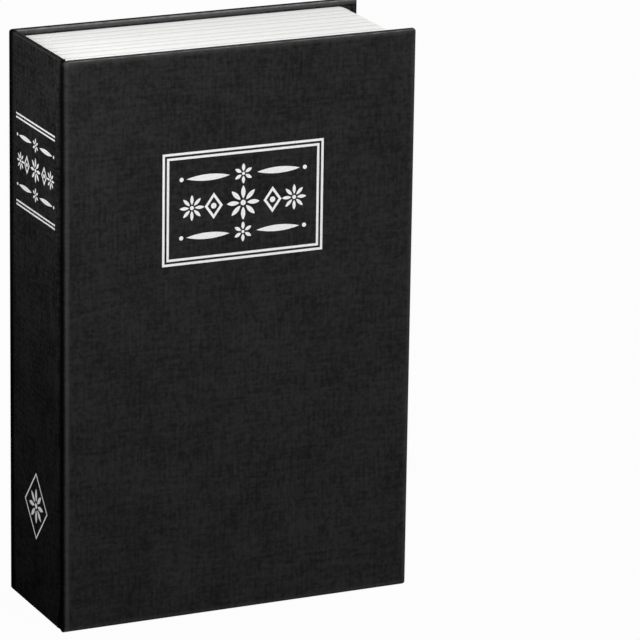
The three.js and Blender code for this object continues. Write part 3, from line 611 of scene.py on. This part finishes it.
def smooth_by_angle():
    """Geometry nodes that keep edges over SMOOTH_ANGLE sharp, and smooth the rest."""
    group = bpy.data.node_groups.new("smooth_by_angle", "GeometryNodeTree")
    for way in ("INPUT", "OUTPUT"):
        group.interface.new_socket("Geometry", in_out=way, socket_type="NodeSocketGeometry")
    add = group.nodes.new
    start, end = add("NodeGroupInput"), add("NodeGroupOutput")
    faces, edges = add("GeometryNodeSetShadeSmooth"), add("GeometryNodeSetShadeSmooth")
    faces.domain, edges.domain = "FACE", "EDGE"
    angle, below = add("GeometryNodeInputMeshEdgeAngle"), add("ShaderNodeMath")
    below.operation = "LESS_THAN"
    below.inputs[1].default_value = SMOOTH_ANGLE
    group.links.new(start.outputs[0], faces.inputs["Geometry"])
    group.links.new(faces.outputs[0], edges.inputs["Geometry"])
    group.links.new(angle.outputs["Unsigned Angle"], below.inputs[0])
    group.links.new(below.outputs[0], edges.inputs["Shade Smooth"])
    group.links.new(edges.outputs[0], end.inputs[0])
    return group


SMOOTH = smooth_by_angle()


def smooth_normals(shape):
    smooth = shape.modifiers.new("smooth", "NODES")
    smooth.node_group = SMOOTH
    weighted = shape.modifiers.new("weighted", "WEIGHTED_NORMAL")
    weighted.keep_sharp = True
    weighted.weight = 100


def dress(node, material, bevel):
    """A CAD node whose shape is right: welded, softly bevelled and given its finish."""
    shape = NODES[node]
    shape.data.materials.clear()
    shape.data.materials.append(MATERIALS[material])
    weld = shape.modifiers.new("weld", "WELD")
    weld.merge_threshold = WELD
    flat = shape.modifiers.new("flat", "DECIMATE")
    flat.decimate_type = "DISSOLVE"
    flat.angle_limit = FLAT_ANGLE
    if bevel:
        edge = shape.modifiers.new("bevel", "BEVEL")
        edge.width = bevel
        edge.segments = 2
        edge.limit_method = "ANGLE"
        edge.angle_limit = BEVEL_ANGLE
        edge.use_clamp_overlap = True
    smooth_normals(shape)


def settle(piece, body, slot, *replaced):
    """Gives a finished piece its body and hides the CAD nodes it stands for. The slot is not used."""
    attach(piece, body)
    if replaced:
        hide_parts(*replaced)


# Case: the back cover and the spine under one cloth, folded round the rear corner
def case_section(inset):
    x0, x1 = SPINE_BOX[0].x + inset, BACK_BOX[1].x - inset
    y0, y1 = SPINE_BOX[0].y + inset, BACK_BOX[1].y - inset
    inner_x, inner_y = SPINE_BOX[0].x + BOARD - inset, BACK_BOX[1].y - BOARD + inset
    corners = [
        (x0, y0, max(SPINE_FRONT_FOLD - inset, LEAST_RADIUS)),
        (inner_x, y0, max(FOLD - inset, LEAST_RADIUS)),
        (inner_x, inner_y, SPINE_INNER_CORNER + inset),
        (x1, inner_y, max(FOLD - inset, LEAST_RADIUS)),
        (x1, y1, max(OUTER_FOLD - inset, LEAST_RADIUS)),
        (x0, y1, max(REAR_FOLD - inset, LEAST_RADIUS)),
    ]
    return rounded(corners, along=CASE_ALONG)


def case_cloth():
    foot, head = SPINE_BOX[0].z, SPINE_BOX[1].z
    fold = fold_stations(FOLD)
    levels = [(drop, foot + inset) for inset, drop in fold]
    tall = head - foot - 2 * FOLD
    levels += [(0, foot + FOLD + tall * k / CASE_LEVELS) for k in range(1, CASE_LEVELS)]
    levels += [(drop, head - inset) for inset, drop in reversed(fold)]
    rings = [[Vector((p.x, p.y, z)) for p in case_section(inset)] for inset, z in levels]
    piece = add_piece("case_cloth", *loft(rings), "case_cloth")
    settle(piece, CASE, "book_cloth", "spine_cloth", "back_cover_cloth")


# Front cover: the cloth runs over the board, round its edges and in under the endpaper
def cover_ring(inset, height, spine_side=None, mitre=0.0):
    """One ring of the front cover's cloth, its corners sunk by `mitre` where the folded flaps meet."""
    low, high = FRONT_BOX
    near = low.x + (inset if spine_side is None else spine_side)
    radius, head_radius, foot_radius = (
        max(full - inset, LEAST_RADIUS) for full in (CORNER, JOINT_HEAD_ROUND, JOINT_FOOT_ROUND)
    )
    corners = [
        (near, low.z + inset, foot_radius), (high.x - inset, low.z + inset, radius),
        (high.x - inset, high.z - inset, radius), (near, high.z - inset, head_radius),
    ]
    flat = rounded(corners, steps=MITRE_STEPS, along=COVER_ALONG)
    side = MITRE_STEPS + 1 + COVER_ALONG
    for start, step, round_off in ((MITRE_STEPS + 1, 1, foot_radius), (3 * side - 1, -1, head_radius)):
        first = near + round_off
        for k in range(COVER_ALONG):
            share = ((k + 1) / (COVER_ALONG + 1)) ** 2
            flat[start + step * k].x = first + (high.x - inset - radius - first) * share
    ring = [Vector((p.x, high.y - height, p.y)) for p in flat]
    for corner in range(4):
        ring[corner * side + MITRE_STEPS // 2].y -= mitre
    return ring


def cover_rings():
    """Rings from the middle of the outer face round the board's edge to the back of the same cloth."""
    spread = JOINT_SIDE_FOLD / OUTER_FOLD
    rings = [cover_ring(inset, BOARD) for inset in FACE_RINGS]
    rings += [cover_ring(drop, BOARD - inset, drop * spread) for inset, drop in fold_stations(OUTER_FOLD)]
    rings += [cover_ring(drop, inset) for inset, drop in reversed(fold_stations(FOLD))]
    rings += [cover_ring(inset, 0, mitre=MITRE) for inset in (*FLAP_RINGS, TURN_IN)]
    rings += [cover_ring(inset, CLOTH) for inset in (TURN_IN, FLAP_RINGS[1], CLOTH + FOLD)]
    rings += [cover_ring(CLOTH, height) for height in (CLOTH + FOLD, BOARD - CLOTH - OUTER_FOLD)]
    inner_fold = CLOTH + OUTER_FOLD
    rings.append(cover_ring(inner_fold, BOARD - CLOTH, inner_fold * spread))
    rings.append(cover_ring(FACE_RINGS[0], BOARD - CLOTH))
    return rings


def cover_cloth():
    piece = add_piece("cover_cloth", *loft(cover_rings()), "cover_cloth")
    settle(piece, COVER, "book_cloth", "front_cover_cloth")


# Joint: the cloth dips between the spine and the front board
def joint_cloth():
    """A thin strip, its two skins closing in at head and foot by the shares in JOINT_ENDS."""
    low, high = FRONT_BOX[0], SPINE_BOX[1]
    foot, head = low.z, high.z
    start_y, end_y = SPINE_BOX[0].y + SPINE_FRONT_FOLD, FRONT_BOX[1].y - FOLD
    shares = [k / JOINT_STEPS for k in range(JOINT_STEPS + 1)]

    def skin(offset, z):
        dip = JOINT_FOOT_DEPTH + (JOINT_DEPTH - JOINT_FOOT_DEPTH) * ease(z, foot, foot + JOINT_FOOT_RISE)
        start_x = low.x + JOINT_SUNK + offset
        return [
            Vector((start_x + dip * math.sin(math.pi * t) ** 2, start_y + (end_y - start_y) * t, z))
            for t in shares
        ]

    stations = [(foot + lift, pinch) for pinch, lift in JOINT_ENDS]
    for rise, count in ((JOINT_FOOT_RISE, JOINT_FOOT_LEVELS), (head - foot, JOINT_LEVELS)):
        stations += [(foot + rise * k / count, 0) for k in range(1, count)]
    stations += [(head - lift, pinch) for pinch, lift in reversed(JOINT_ENDS)]
    rings = [
        skin(CLOTH * pinch / 2, z) + list(reversed(skin(CLOTH * (1 - pinch / 2), z)))
        for z, pinch in stations
    ]
    piece = add_piece("joint_cloth", *loft(rings), "joint_cloth")
    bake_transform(piece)
    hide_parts("front_joint_cloth")


# Page block: one moulded wall round head, fore-edge and foot, in sheaves parted by soft grooves
def page_profile(low, high):
    """(depth below the surface, y) across the outside of the wall."""
    grooves = page_grooves()
    walls = [low.y, *grooves, high.y]
    chance = random.Random(SHEAF_SEED)
    swells = [chance.uniform(0, SHEAF_SWELL) for _ in range(PAGE_GROOVES + 1)]
    profile = []
    for swell, start, end in zip(swells, walls, walls[1:]):
        for k in range(SHEAF_STEPS):
            share = k / SHEAF_STEPS
            y = start + (end - start) * share
            crown = SHEAF_CROWN * (2 * share - 1) ** 2 + swell * math.sin(math.pi * share)
            near = min(abs(y - g) for g in grooves)
            depth = crown + GROOVE_DEPTH * math.exp(-((near / GROOVE_HALF_WIDTH) ** 2))
            profile.append((depth, y))
    profile.append((SHEAF_CROWN, high.y))
    for i, (depth, y) in enumerate(profile):
        rim = min(y - low.y, high.y - y)
        if rim < PAGE_EDGE:
            profile[i] = (depth + PAGE_EDGE - math.sqrt(PAGE_EDGE ** 2 - (PAGE_EDGE - rim) ** 2), y)
    return profile


def page_stations(low, high):
    """((x, z) outside, (x, z) inside, angle of the outward normal) along the wall, from head to foot."""
    found = []
    straight, steps = PAGE_STRAIGHT_STEPS, PAGE_CORNER_STEPS
    for k in range(straight):
        x = low.x + (high.x - PAGE_CORNER - low.x) * k / straight
        found.append(((x, high.z), (x, high.z - PAGE_WALL), math.pi / 2))
    for side, z in ((1, high.z), (-1, low.z)):
        for k in range(steps + 1):
            share = k / steps
            angle = math.pi / 2 * (1 - share) if side > 0 else -math.pi / 2 * share
            ends = []
            for wall, radius in ((0, PAGE_CORNER), (PAGE_WALL, PAGE_INNER_CORNER)):
                ends.append((
                    high.x - wall - radius + radius * math.cos(angle),
                    z - side * (wall + radius) + radius * math.sin(angle),
                ))
            found.append((*ends, angle))
        if side > 0:
            top, bottom = high.z - PAGE_CORNER, low.z + PAGE_CORNER
            for k in range(1, straight):
                level = top + (bottom - top) * k / straight
                found.append(((high.x, level), (high.x - PAGE_WALL, level), 0.0))
    for k in range(straight - 1, -1, -1):
        x = low.x + (high.x - PAGE_CORNER - low.x) * k / straight
        found.append(((x, low.z), (x, low.z + PAGE_WALL), -math.pi / 2))
    return found


def page_block():
    low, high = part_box("page_block")
    profile = page_profile(low, high)
    rings = []
    for outside, inside, angle in page_stations(low, high):
        c, s = math.cos(angle), math.sin(angle)
        ring = [Vector((inside[0], low.y, inside[1]))]
        ring += [Vector((outside[0] - c * depth, y, outside[1] - s * depth)) for depth, y in profile]
        ring.append(Vector((inside[0], high.y, inside[1])))
        rings.append(ring)
    piece = add_piece("moulded_pages", *loft(rings), "page_plastic")
    smooth_normals(piece)
    settle(piece, CASE, "page_plastic", "page_block")


# Foil stamping: each shape is an outline on a plane, raised a little above the cloth
class Stamp:
    """Gathers flat shapes, drawn in (u, v) about a middle, into one thin raised mesh."""

    def __init__(self, middle, right, out):
        self.middle = Vector(middle)
        self.right = Vector(right)
        self.out = Vector(out)
        self.points = []
        self.faces = []

    def at(self, u, v, rise):
        return self.middle + self.right * u + Vector((0, 0, 1)) * v + self.out * rise

    def shape(self, outline):
        base = len(self.points)
        count = len(outline)
        for rise in (-FOIL_ROOT, FOIL_RISE):
            self.points += [self.at(u, v, rise) for u, v in outline]
        self.faces.append(tuple(base + i for i in reversed(range(count))))
        self.faces.append(tuple(base + count + i for i in range(count)))
        for i in range(count):
            j = (i + 1) % count
            self.faces.append((base + i, base + j, base + count + j, base + count + i))

    def strip(self, first, second):
        """A closed band between two closed outlines of equal counts."""
        count = len(first)
        for i in range(count):
            j = (i + 1) % count
            self.shape([first[i], first[j], second[j], second[i]])

    def bar(self, u0, u1, v0, v1):
        self.shape([(u0, v0), (u1, v0), (u1, v1), (u0, v1)])

    def frame(self, u0, u1, v0, v1, thick):
        self.bar(u0, u1, v0, v0 + thick)
        self.bar(u0, u1, v1 - thick, v1)
        self.bar(u0, u0 + thick, v0 + thick, v1 - thick)
        self.bar(u1 - thick, u1, v0 + thick, v1 - thick)

    def leaf(self, u, v, length, width, turn):
        """A pointed leaf whose near tip is at (u, v)."""
        steps = 10
        side = [
            (length * k / steps, width / 2 * math.sin(math.pi * k / steps) ** 0.8) for k in range(steps + 1)
        ]
        loop = side + [(a, -b) for a, b in reversed(side[1:-1])]
        c, s = math.cos(turn), math.sin(turn)
        self.shape([(u + a * c - b * s, v + a * s + b * c) for a, b in loop])

    def disc(self, u, v, radius):
        steps = 20
        turns = [2 * math.pi * k / steps for k in range(steps)]
        self.shape([(u + radius * math.cos(t), v + radius * math.sin(t)) for t in turns])

    def lozenge(self, u, v, wide, high, thick):
        ring = [(u - wide / 2, v), (u, v - high / 2), (u + wide / 2, v), (u, v + high / 2)]
        share = 1 - 2 * thick / min(wide, high)
        self.strip(ring, [(u + (a - u) * share, v + (b - v) * share) for a, b in ring])

    def rosette(self, u, v, radius, petals):
        gap, width = PETAL_GAP * radius, radius * PETAL_WIDTH / petals
        for k in range(petals):
            turn = math.pi / 2 + 2 * math.pi * k / petals
            self.leaf(u + gap * math.cos(turn), v + gap * math.sin(turn), radius - gap, width, turn)
        self.disc(u, v, ROSETTE_EYE * radius)

    def ornament(self, scale, row_pitch):
        """A band of rosettes and lozenges, with a flower between swelled rules above and below it."""
        for side in (-1, 1):
            row = side * row_pitch
            self.rosette(0, row, FLOWER * scale, 6)
            for turn in (0, math.pi):
                way = scale * math.cos(turn)
                self.leaf(SWELL_START * way, row, *(size * scale for size in SWELL), turn)
                self.disc(DOT_AT * way, row, DOT * scale)
        self.rosette(0, 0, ROSETTE * scale, 8)
        for way in (-scale, scale):
            self.lozenge(LOZENGE_AT * way, 0, *(size * scale for size in LOZENGE))
            self.disc(LOZENGE_AT * way, 0, LOZENGE_DOT * scale)
            self.rosette(SIDE_ROSETTE_AT * way, 0, SIDE_ROSETTE * scale, 8)

    def finish(self, name, body):
        piece = add_piece(name, self.points, self.faces, "white_foil", smooth=False)
        settle(piece, body, "white_foil")


def front_stamp():
    stamp = Stamp((STAMP_MIDDLE_X, FRONT_BOX[0].y, (STAMP_TOP + STAMP_FOOT) / 2), (1, 0, 0), (0, -1, 0))
    half_wide, half_high = STAMP_WIDTH / 2, (STAMP_TOP - STAMP_FOOT) / 2
    for inset in (0, RULE_PITCH):
        stamp.frame(-half_wide + inset, half_wide - inset, -half_high + inset, half_high - inset, RULE)
    stamp.ornament(1.0, FRONT_ROWS)
    stamp.finish("front_stamp", COVER)


def spine_stamp():
    middle = (SPINE_BOX[0].x, SPINE_MIDDLE_Y, (SPINE_RULES_TOP + SPINE_RULES_FOOT) / 2)
    stamp = Stamp(middle, (0, -1, 0), (-1, 0, 0))
    half_wide, half_high = SPINE_RULE_WIDTH / 2, (SPINE_RULES_TOP - SPINE_RULES_FOOT) / 2
    for side in (-1, 1):
        for inset in (0, SPINE_RULE_PITCH):
            level = side * (half_high - inset)
            stamp.bar(-half_wide, half_wide, level - SPINE_RULE / 2, level + SPINE_RULE / 2)
    stamp.ornament(SPINE_SCALE, SPINE_ROWS)
    drop = EMBLEM_Z - middle[2]
    stamp.lozenge(0, drop, EMBLEM_WIDTH, EMBLEM_HEIGHT, RULE)
    stamp.rosette(0, drop, EMBLEM_ROSETTE, 8)
    stamp.finish("spine_stamp", CASE)


# Keys: moulded heads with a collared slot, a framed panel, beads and ribs, on one split ring
def stadium(length, width):
    """A closed outline along Y, round at both ends."""
    radius, half = width / 2, length / 2
    ways = ((-1, -1), (1, -1), (1, 1), (-1, 1))
    return rounded([(a * radius, b * half, radius) for a, b in ways], steps=10, along=7)


def head_outline(inset):
    """Rounded at the slot's end and chamfered at the blade's end."""
    x0, x1 = -SLOT_FROM_END + inset, HEAD_LENGTH - SLOT_FROM_END - inset
    half = HEAD_WIDTH / 2 - inset
    leg = HEAD_CHAMFER - (2 - math.sqrt(2)) * inset
    corner, blunt = HEAD_CORNER - inset, HEAD_CHAMFER_ROUND - inset
    corners = [
        (x0, -half, corner), (x1 - leg, -half, blunt), (x1, leg - half, blunt),
        (x1, half - leg, blunt), (x1 - leg, half, blunt), (x0, half, corner),
    ]
    return rounded(corners, steps=6, along=16)


def from_edge(x, y):
    """How far (x, y) is inside the head's straight sides and chamfers."""
    x1, half = HEAD_LENGTH - SLOT_FROM_END, HEAD_WIDTH / 2
    chamfer = (x1 + half - HEAD_CHAMFER - x - abs(y)) / math.sqrt(2)
    return min(half - abs(y), x1 - x, x + SLOT_FROM_END, chamfer)


def beyond_panel(x, y):
    """How far (x, y) is outside the panel, or minus how far it is inside."""
    return max(abs(x - PANEL_MIDDLE) - PANEL_LENGTH / 2, abs(y) - PANEL_BREADTH / 2)


def beyond_slot(x, y):
    """How far (x, y) is outside the slot, or minus how far it is inside."""
    return math.hypot(x, max(abs(y) - (SLOT_LENGTH - SLOT_WIDTH) / 2, 0)) - SLOT_WIDTH / 2


def ease(value, low, high):
    share = min(max((value - low) / (high - low), 0), 1)
    return share * share * (3 - 2 * share)


def bead_row(start, end):
    """Evenly spaced places from start up to, but not at, end."""
    start, end = Vector(start), Vector(end)
    count = round((end - start).length / BEAD_PITCH)
    return [tuple(start.lerp(end, k / count)) for k in range(count)]


def bead_places():
    """Beads in a row round the panel, and along the head's chamfered end."""
    long, broad = PANEL_LENGTH / 2 + PANEL_BEADS, PANEL_BREADTH / 2 + PANEL_BEADS
    near, far = PANEL_MIDDLE - long, PANEL_MIDDLE + long
    loop = [(near, -broad), (far, -broad), (far, broad), (near, broad)]
    inset = HEAD_BEVEL + EDGE_BEADS
    end, half = HEAD_LENGTH - SLOT_FROM_END - inset, HEAD_WIDTH / 2 - inset
    leg = HEAD_CHAMFER - (2 - math.sqrt(2)) * inset
    line = [(end - leg, -half), (end, leg - half), (end, half - leg), (end - leg, half)]
    places = [line[-1]]
    for route in (list(zip(loop, loop[1:] + loop[:1])), list(zip(line, line[1:]))):
        for start, stop in route:
            places += bead_row(start, stop)
    return places


def face_height(x, y, beads):
    """Height of the head's broad face over its flat level."""
    off_slot = beyond_slot(x, y)
    if off_slot < COLLAR_WIDTH:
        return COLLAR_RISE * math.sin(math.pi * max(off_slot, 0) / COLLAR_WIDTH) ** 0.6
    outside = beyond_panel(x, y)
    if outside < 0:
        return PAD_RISE * ease(-outside, *PAD_EDGE) - PANEL_DEPTH * ease(-outside, 0, PANEL_SIDE)
    for u, v in beads:
        off = math.hypot(x - u, y - v)
        if off < BEAD_RADIUS:
            return BEAD_HEIGHT * math.sqrt(1 - (off / BEAD_RADIUS) ** 2)
    rim = from_edge(x, y) - HEAD_BEVEL
    field = ease(outside, *RIBS_FROM_PANEL) * ease(rim, *RIBS_FROM_RIM) * ease(x, *RIBS_FROM_SLOT)
    wave = 0.5 + 0.5 * math.cos(2 * math.pi * (x + y) / math.sqrt(2) / RIB_PITCH)
    return RIB_HEIGHT * field * wave


def face_points(beads):
    """Points over the head's face: a grid along the ribs, with rings round the collar, panel and beads."""
    extra = []
    for part in (0.12, 0.35, 0.5, 0.65, 0.88, 1.0):
        grow = 2 * COLLAR_WIDTH * part
        extra += [tuple(p) for p in stadium(SLOT_LENGTH + grow, SLOT_WIDTH + grow)]
    for inset in (0, PANEL_SIDE, *PAD_EDGE):
        long, broad = PANEL_LENGTH / 2 - inset, PANEL_BREADTH / 2 - inset
        for k in range(24):
            across = -1 + k / 12
            for x, y in ((long, across * broad), (across * long, broad)):
                extra += [(PANEL_MIDDLE + x, y), (PANEL_MIDDLE - x, -y)]
    for u, v in beads:
        extra.append((u, v))
        for share in (0.6, 0.98):
            out = share * BEAD_RADIUS
            for k in range(8):
                turn = math.pi * (k + share) / 4
                extra.append((u + out * math.cos(turn), v + out * math.sin(turn)))
    kept = []
    taken = set()
    for x, y in extra:
        spot = (round(x / FACE_CELL), round(y / FACE_CELL))
        if spot not in taken:
            taken.add(spot)
            kept.append((x, y))
    step, along = RIB_PITCH / 6, RIB_PITCH / 2
    reach = round(HEAD_LENGTH / step)
    for i in range(-reach, 2 * reach):
        for j in range(-reach, reach):
            s, r = i * step, j * along + (i % 2) * along / 2
            x, y = (s - r) / math.sqrt(2), (s + r) / math.sqrt(2)
            u, v = round(x / FACE_CELL), round(y / FACE_CELL)
            if not any((u + a, v + b) in taken for a in (-1, 0, 1) for b in (-1, 0, 1)):
                kept.append((x, y))
    return kept


def head_mesh():
    """Points and faces of one key head, lying along +X with the middle of its slot at the origin."""
    top = HEAD_THICKNESS / 2
    beads = bead_places()
    border = head_outline(HEAD_BEVEL)
    slot = stadium(SLOT_LENGTH, SLOT_WIDTH)

    def on_face(x, y, margin):
        over_x = max(HEAD_CORNER - SLOT_FROM_END - x, 0)
        over_y = max(abs(y) - (HEAD_WIDTH / 2 - HEAD_CORNER), 0)
        in_corner = HEAD_CORNER - math.hypot(over_x, over_y) if over_x else HEAD_CORNER
        return min(from_edge(x, y), in_corner) > HEAD_BEVEL + margin and beyond_slot(x, y) > margin

    inner = [p for p in face_points(beads) if on_face(*p, FACE_MARGIN)]
    flat = [Vector(p) for p in (*border, *slot, *inner)]
    loops = [(0, len(border)), (len(border), len(border) + len(slot))]
    edges = [(i, i + 1 if i + 1 < end else start) for start, end in loops for i in range(start, end)]
    spots, _, triangles, sources, _, _ = delaunay_2d_cdt(flat, edges, [], 0, 1e-9)
    index = {source: i for i, group in enumerate(sources) for source in group}
    kept = []
    for triangle in triangles:
        x, y = sum((spots[i] for i in triangle), Vector((0, 0))) / len(triangle)
        if on_face(x, y, 0):
            kept.append(tuple(triangle))
    edge_points = {index[i] for i in range(len(border) + len(slot))}
    heights = [0 if i in edge_points else face_height(p.x, p.y, beads) for i, p in enumerate(spots)]
    points = [Vector((p.x, p.y, top + h)) for p, h in zip(spots, heights)]
    count = len(points)
    points += [Vector((p.x, p.y, -p.z)) for p in points[:count]]
    faces = kept + [tuple(i + count for i in reversed(triangle)) for triangle in kept]
    bevel = fold_stations(HEAD_BEVEL)[:-1]
    levels = [(inset, top - drop) for inset, drop in reversed(bevel)]
    levels += [(inset, drop - top) for inset, drop in bevel]
    side = [[index[i] for i in range(len(border))]]
    for inset, level in levels:
        side.append(list(range(len(points), len(points) + len(border))))
        points += [Vector((p.x, p.y, level)) for p in head_outline(inset)]
    side.append([i + count for i in side[0]])
    wall = [[index[len(border) + i] for i in range(len(slot))]]
    wall.insert(0, [i + count for i in wall[0]])
    for rings in (side, wall):
        for upper, lower in zip(rings, rings[1:]):
            for i in range(len(upper)):
                j = (i + 1) % len(upper)
                faces.append((upper[i], lower[i], lower[j], upper[j]))
    return points, faces


def split_ring():
    """Points and faces of nearly two turns of round wire, in the ring's own frame."""
    steps, sides = 176, 14
    turns = [2 * math.pi * s / sides for s in range(sides)]
    wire = [(RING_WIRE * math.cos(t), RING_WIRE * math.sin(t)) for t in turns]
    rings = []
    for k in range(steps + 1):
        share = k / steps
        turn = 2 * math.pi * RING_TURNS * share
        out = Vector((math.cos(turn), math.sin(turn), 0))
        middle = out * RING_RADIUS + Vector((0, 0, RING_PITCH * RING_TURNS * (share - 0.5)))
        rings.append([middle + out * a + Vector((0, 0, b)) for a, b in wire])
    return loft(rings)


def keys():
    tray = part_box("steel_tray")
    place = Matrix.Translation(((tray[0].x + tray[1].x) / 2, KEYS_Y, tray[0].z + TRAY_SHEET))
    place = place @ Matrix.Rotation(KEYS_TURN, 4, "Z")
    stack = RING_PITCH * RING_TURNS / 2 + RING_WIRE
    ring_z = RING_RADIUS * math.sin(RING_TILT) + stack * math.cos(RING_TILT) + GAP
    dip = math.asin((ring_z - BLADE_HALF - GAP) / KEY_REACH)

    points, faces = split_ring()
    turned = place @ Matrix.Translation((0, 0, ring_z)) @ Matrix.Rotation(RING_TILT, 4, "X")
    ring = add_piece("split_ring", [turned @ p for p in points], faces, "chrome")
    settle(ring, CASE, "chrome", "key_ring")

    points, faces = head_mesh()
    for i, turn in enumerate((0, math.pi)):
        beside = ((RING_RADIUS - RING_IN_SLOT) * math.cos(turn), 0, ring_z)
        key = place @ Matrix.Translation(beside)
        key = key @ Matrix.Rotation(turn, 4, "Z") @ Matrix.Rotation(dip, 4, "Y")
        head = add_piece(f"moulded_key_{i + 1}", [key @ p for p in points], faces, "key_plastic")
        smooth_normals(head)
        settle(head, CASE, "key_plastic", f"key_{i + 1}_head")


# Nodes that keep their CAD shape
def dress_nodes():
    finishes = {
        "grey_board": ["back_board", "spine_board", "front_board"],
        "endpaper": ["back_lining", "spine_lining", "front_lining"],
        "powder_coat": ["door_panel"],
        "black_coat": ["steel_tray", "strike_channel"],
        "zinc_steel": [
            *(f"tray_screw_{i}" for i in range(1, 5)), "upper_hinge_pin", "lower_hinge_pin",
            "lock_nut", "lock_cam", "cam_washer", "cam_screw",
        ],
        "chrome": ["lock_housing"],
        "satin_chrome": ["lock_plug"],
        "lock_brass": [f"wafer_{i}" for i in range(1, 6)],
        "key_metal": ["key_1_blade", "key_2_blade"],
    }
    for material, nodes in finishes.items():
        for node in nodes:
            dress(node, material, 0 if "lining" in node else NODE_BEVEL)


# Stage, light and camera
def white_where_seen(tree, lit, share):
    """Mixes a shader with plain white where a camera, glossy or transmitted ray meets it."""
    path = tree.nodes.new("ShaderNodeLightPath")
    seen = path.outputs["Is Camera Ray"]
    for other in ("Is Glossy Ray", "Is Transmission Ray"):
        both = tree.nodes.new("ShaderNodeMath")
        both.operation = "MAXIMUM"
        tree.links.new(seen, both.inputs[0])
        tree.links.new(path.outputs[other], both.inputs[1])
        seen = both.outputs[0]
    scaled = tree.nodes.new("ShaderNodeMath")
    scaled.operation = "MULTIPLY"
    tree.links.new(seen, scaled.inputs[0])
    scaled.inputs[1].default_value = share
    mix = tree.nodes.new("ShaderNodeMixShader")
    tree.links.new(scaled.outputs[0], mix.inputs[0])
    tree.links.new(lit, mix.inputs[1])
    return mix


def floor():
    mesh = bpy.data.meshes.new("floor")
    corners = [(-FLOOR, -FLOOR, 0), (FLOOR, -FLOOR, 0), (FLOOR, FLOOR, 0), (-FLOOR, FLOOR, 0)]
    mesh.from_pydata(corners, [], [(0, 1, 2, 3)])
    grey = Surface("floor", (FLOOR_GREY, FLOOR_GREY, FLOOR_GREY, 1), 0.9, specular=0.1)
    glow = grey.add("ShaderNodeEmission", {"Strength": 1.0})
    mix = white_where_seen(grey.tree, grey.shader.outputs[0], FLOOR_WHITE)
    grey.tree.links.new(glow.outputs[0], mix.inputs[2])
    grey.tree.links.new(mix.outputs[0], grey.tree.nodes["Material Output"].inputs["Surface"])
    mesh.materials.append(grey.material)
    ground = to_scene("floor", mesh)


def world():
    sky = bpy.data.worlds.new("studio")
    bpy.context.scene.world = sky
    sky.use_nodes = True
    tree = sky.node_tree
    ambient, white = tree.nodes["Background"], tree.nodes.new("ShaderNodeBackground")
    for light, strength in ((ambient, AMBIENT), (white, 1.0)):
        light.inputs["Color"].default_value = (1, 1, 1, 1)
        light.inputs["Strength"].default_value = strength
    mix = white_where_seen(tree, ambient.outputs[0], 1.0)
    tree.links.new(white.outputs[0], mix.inputs[2])
    tree.links.new(mix.outputs[0], tree.nodes["World Output"].inputs["Surface"])


def soft_box(name, place, aim, size, power, spread=180):
    lamp = bpy.data.lights.new(name, "AREA")
    lamp.shape = "DISK"
    lamp.size = size
    lamp.energy = power
    lamp.spread = math.radians(spread)
    holder = to_scene(name, lamp)
    holder.location = place
    holder.rotation_euler = (Vector(aim) - Vector(place)).to_track_quat("-Z", "Y").to_euler()
    holder.visible_camera = False


def lights():
    middle = (0, 0, 0.12)
    soft_box("top_light", (-0.1, -0.3, 1.5), middle, 1.0, 6.2)
    soft_box("front_light", (0.36, -0.85, 0.75), middle, 0.6, 7.2)
    soft_box("spine_light", (-0.29, -0.12, 0.3), (-0.08, 0, 0.235), 0.12, 0.108, 80)
    soft_box("rear_light", (0.35, 1.25, 0.2), middle, 0.5, 2.6)


def camera():
    a, e = CAMERA_AZIMUTH, CAMERA_ELEVATION
    back = Vector((math.sin(a) * math.cos(e), -math.cos(a) * math.cos(e), math.sin(e)))
    right = Vector((math.cos(a), math.sin(a), 0))
    up = back.cross(right)
    c, s = math.cos(CAMERA_ROLL), math.sin(CAMERA_ROLL)
    right, up = c * right + s * up, c * up - s * right
    data = bpy.data.cameras.new("camera")
    data.lens = CAMERA_LENS
    data.sensor_width = SENSOR_WIDTH
    data.clip_start, data.clip_end = CAMERA_CLIP
    holder = to_scene("camera", data)
    turn = Matrix((right, up, back)).transposed()
    holder.matrix_world = Matrix.Translation(CAMERA_AIM + back * CAMERA_DISTANCE) @ turn.to_4x4()
    bpy.context.scene.camera = holder


camera()
floor()
world()
lights()
bpy.context.scene.view_settings.view_transform = "Standard"

case_cloth()
cover_cloth()
joint_cloth()
page_block()
front_stamp()
spine_stamp()
keys()
dress_nodes()
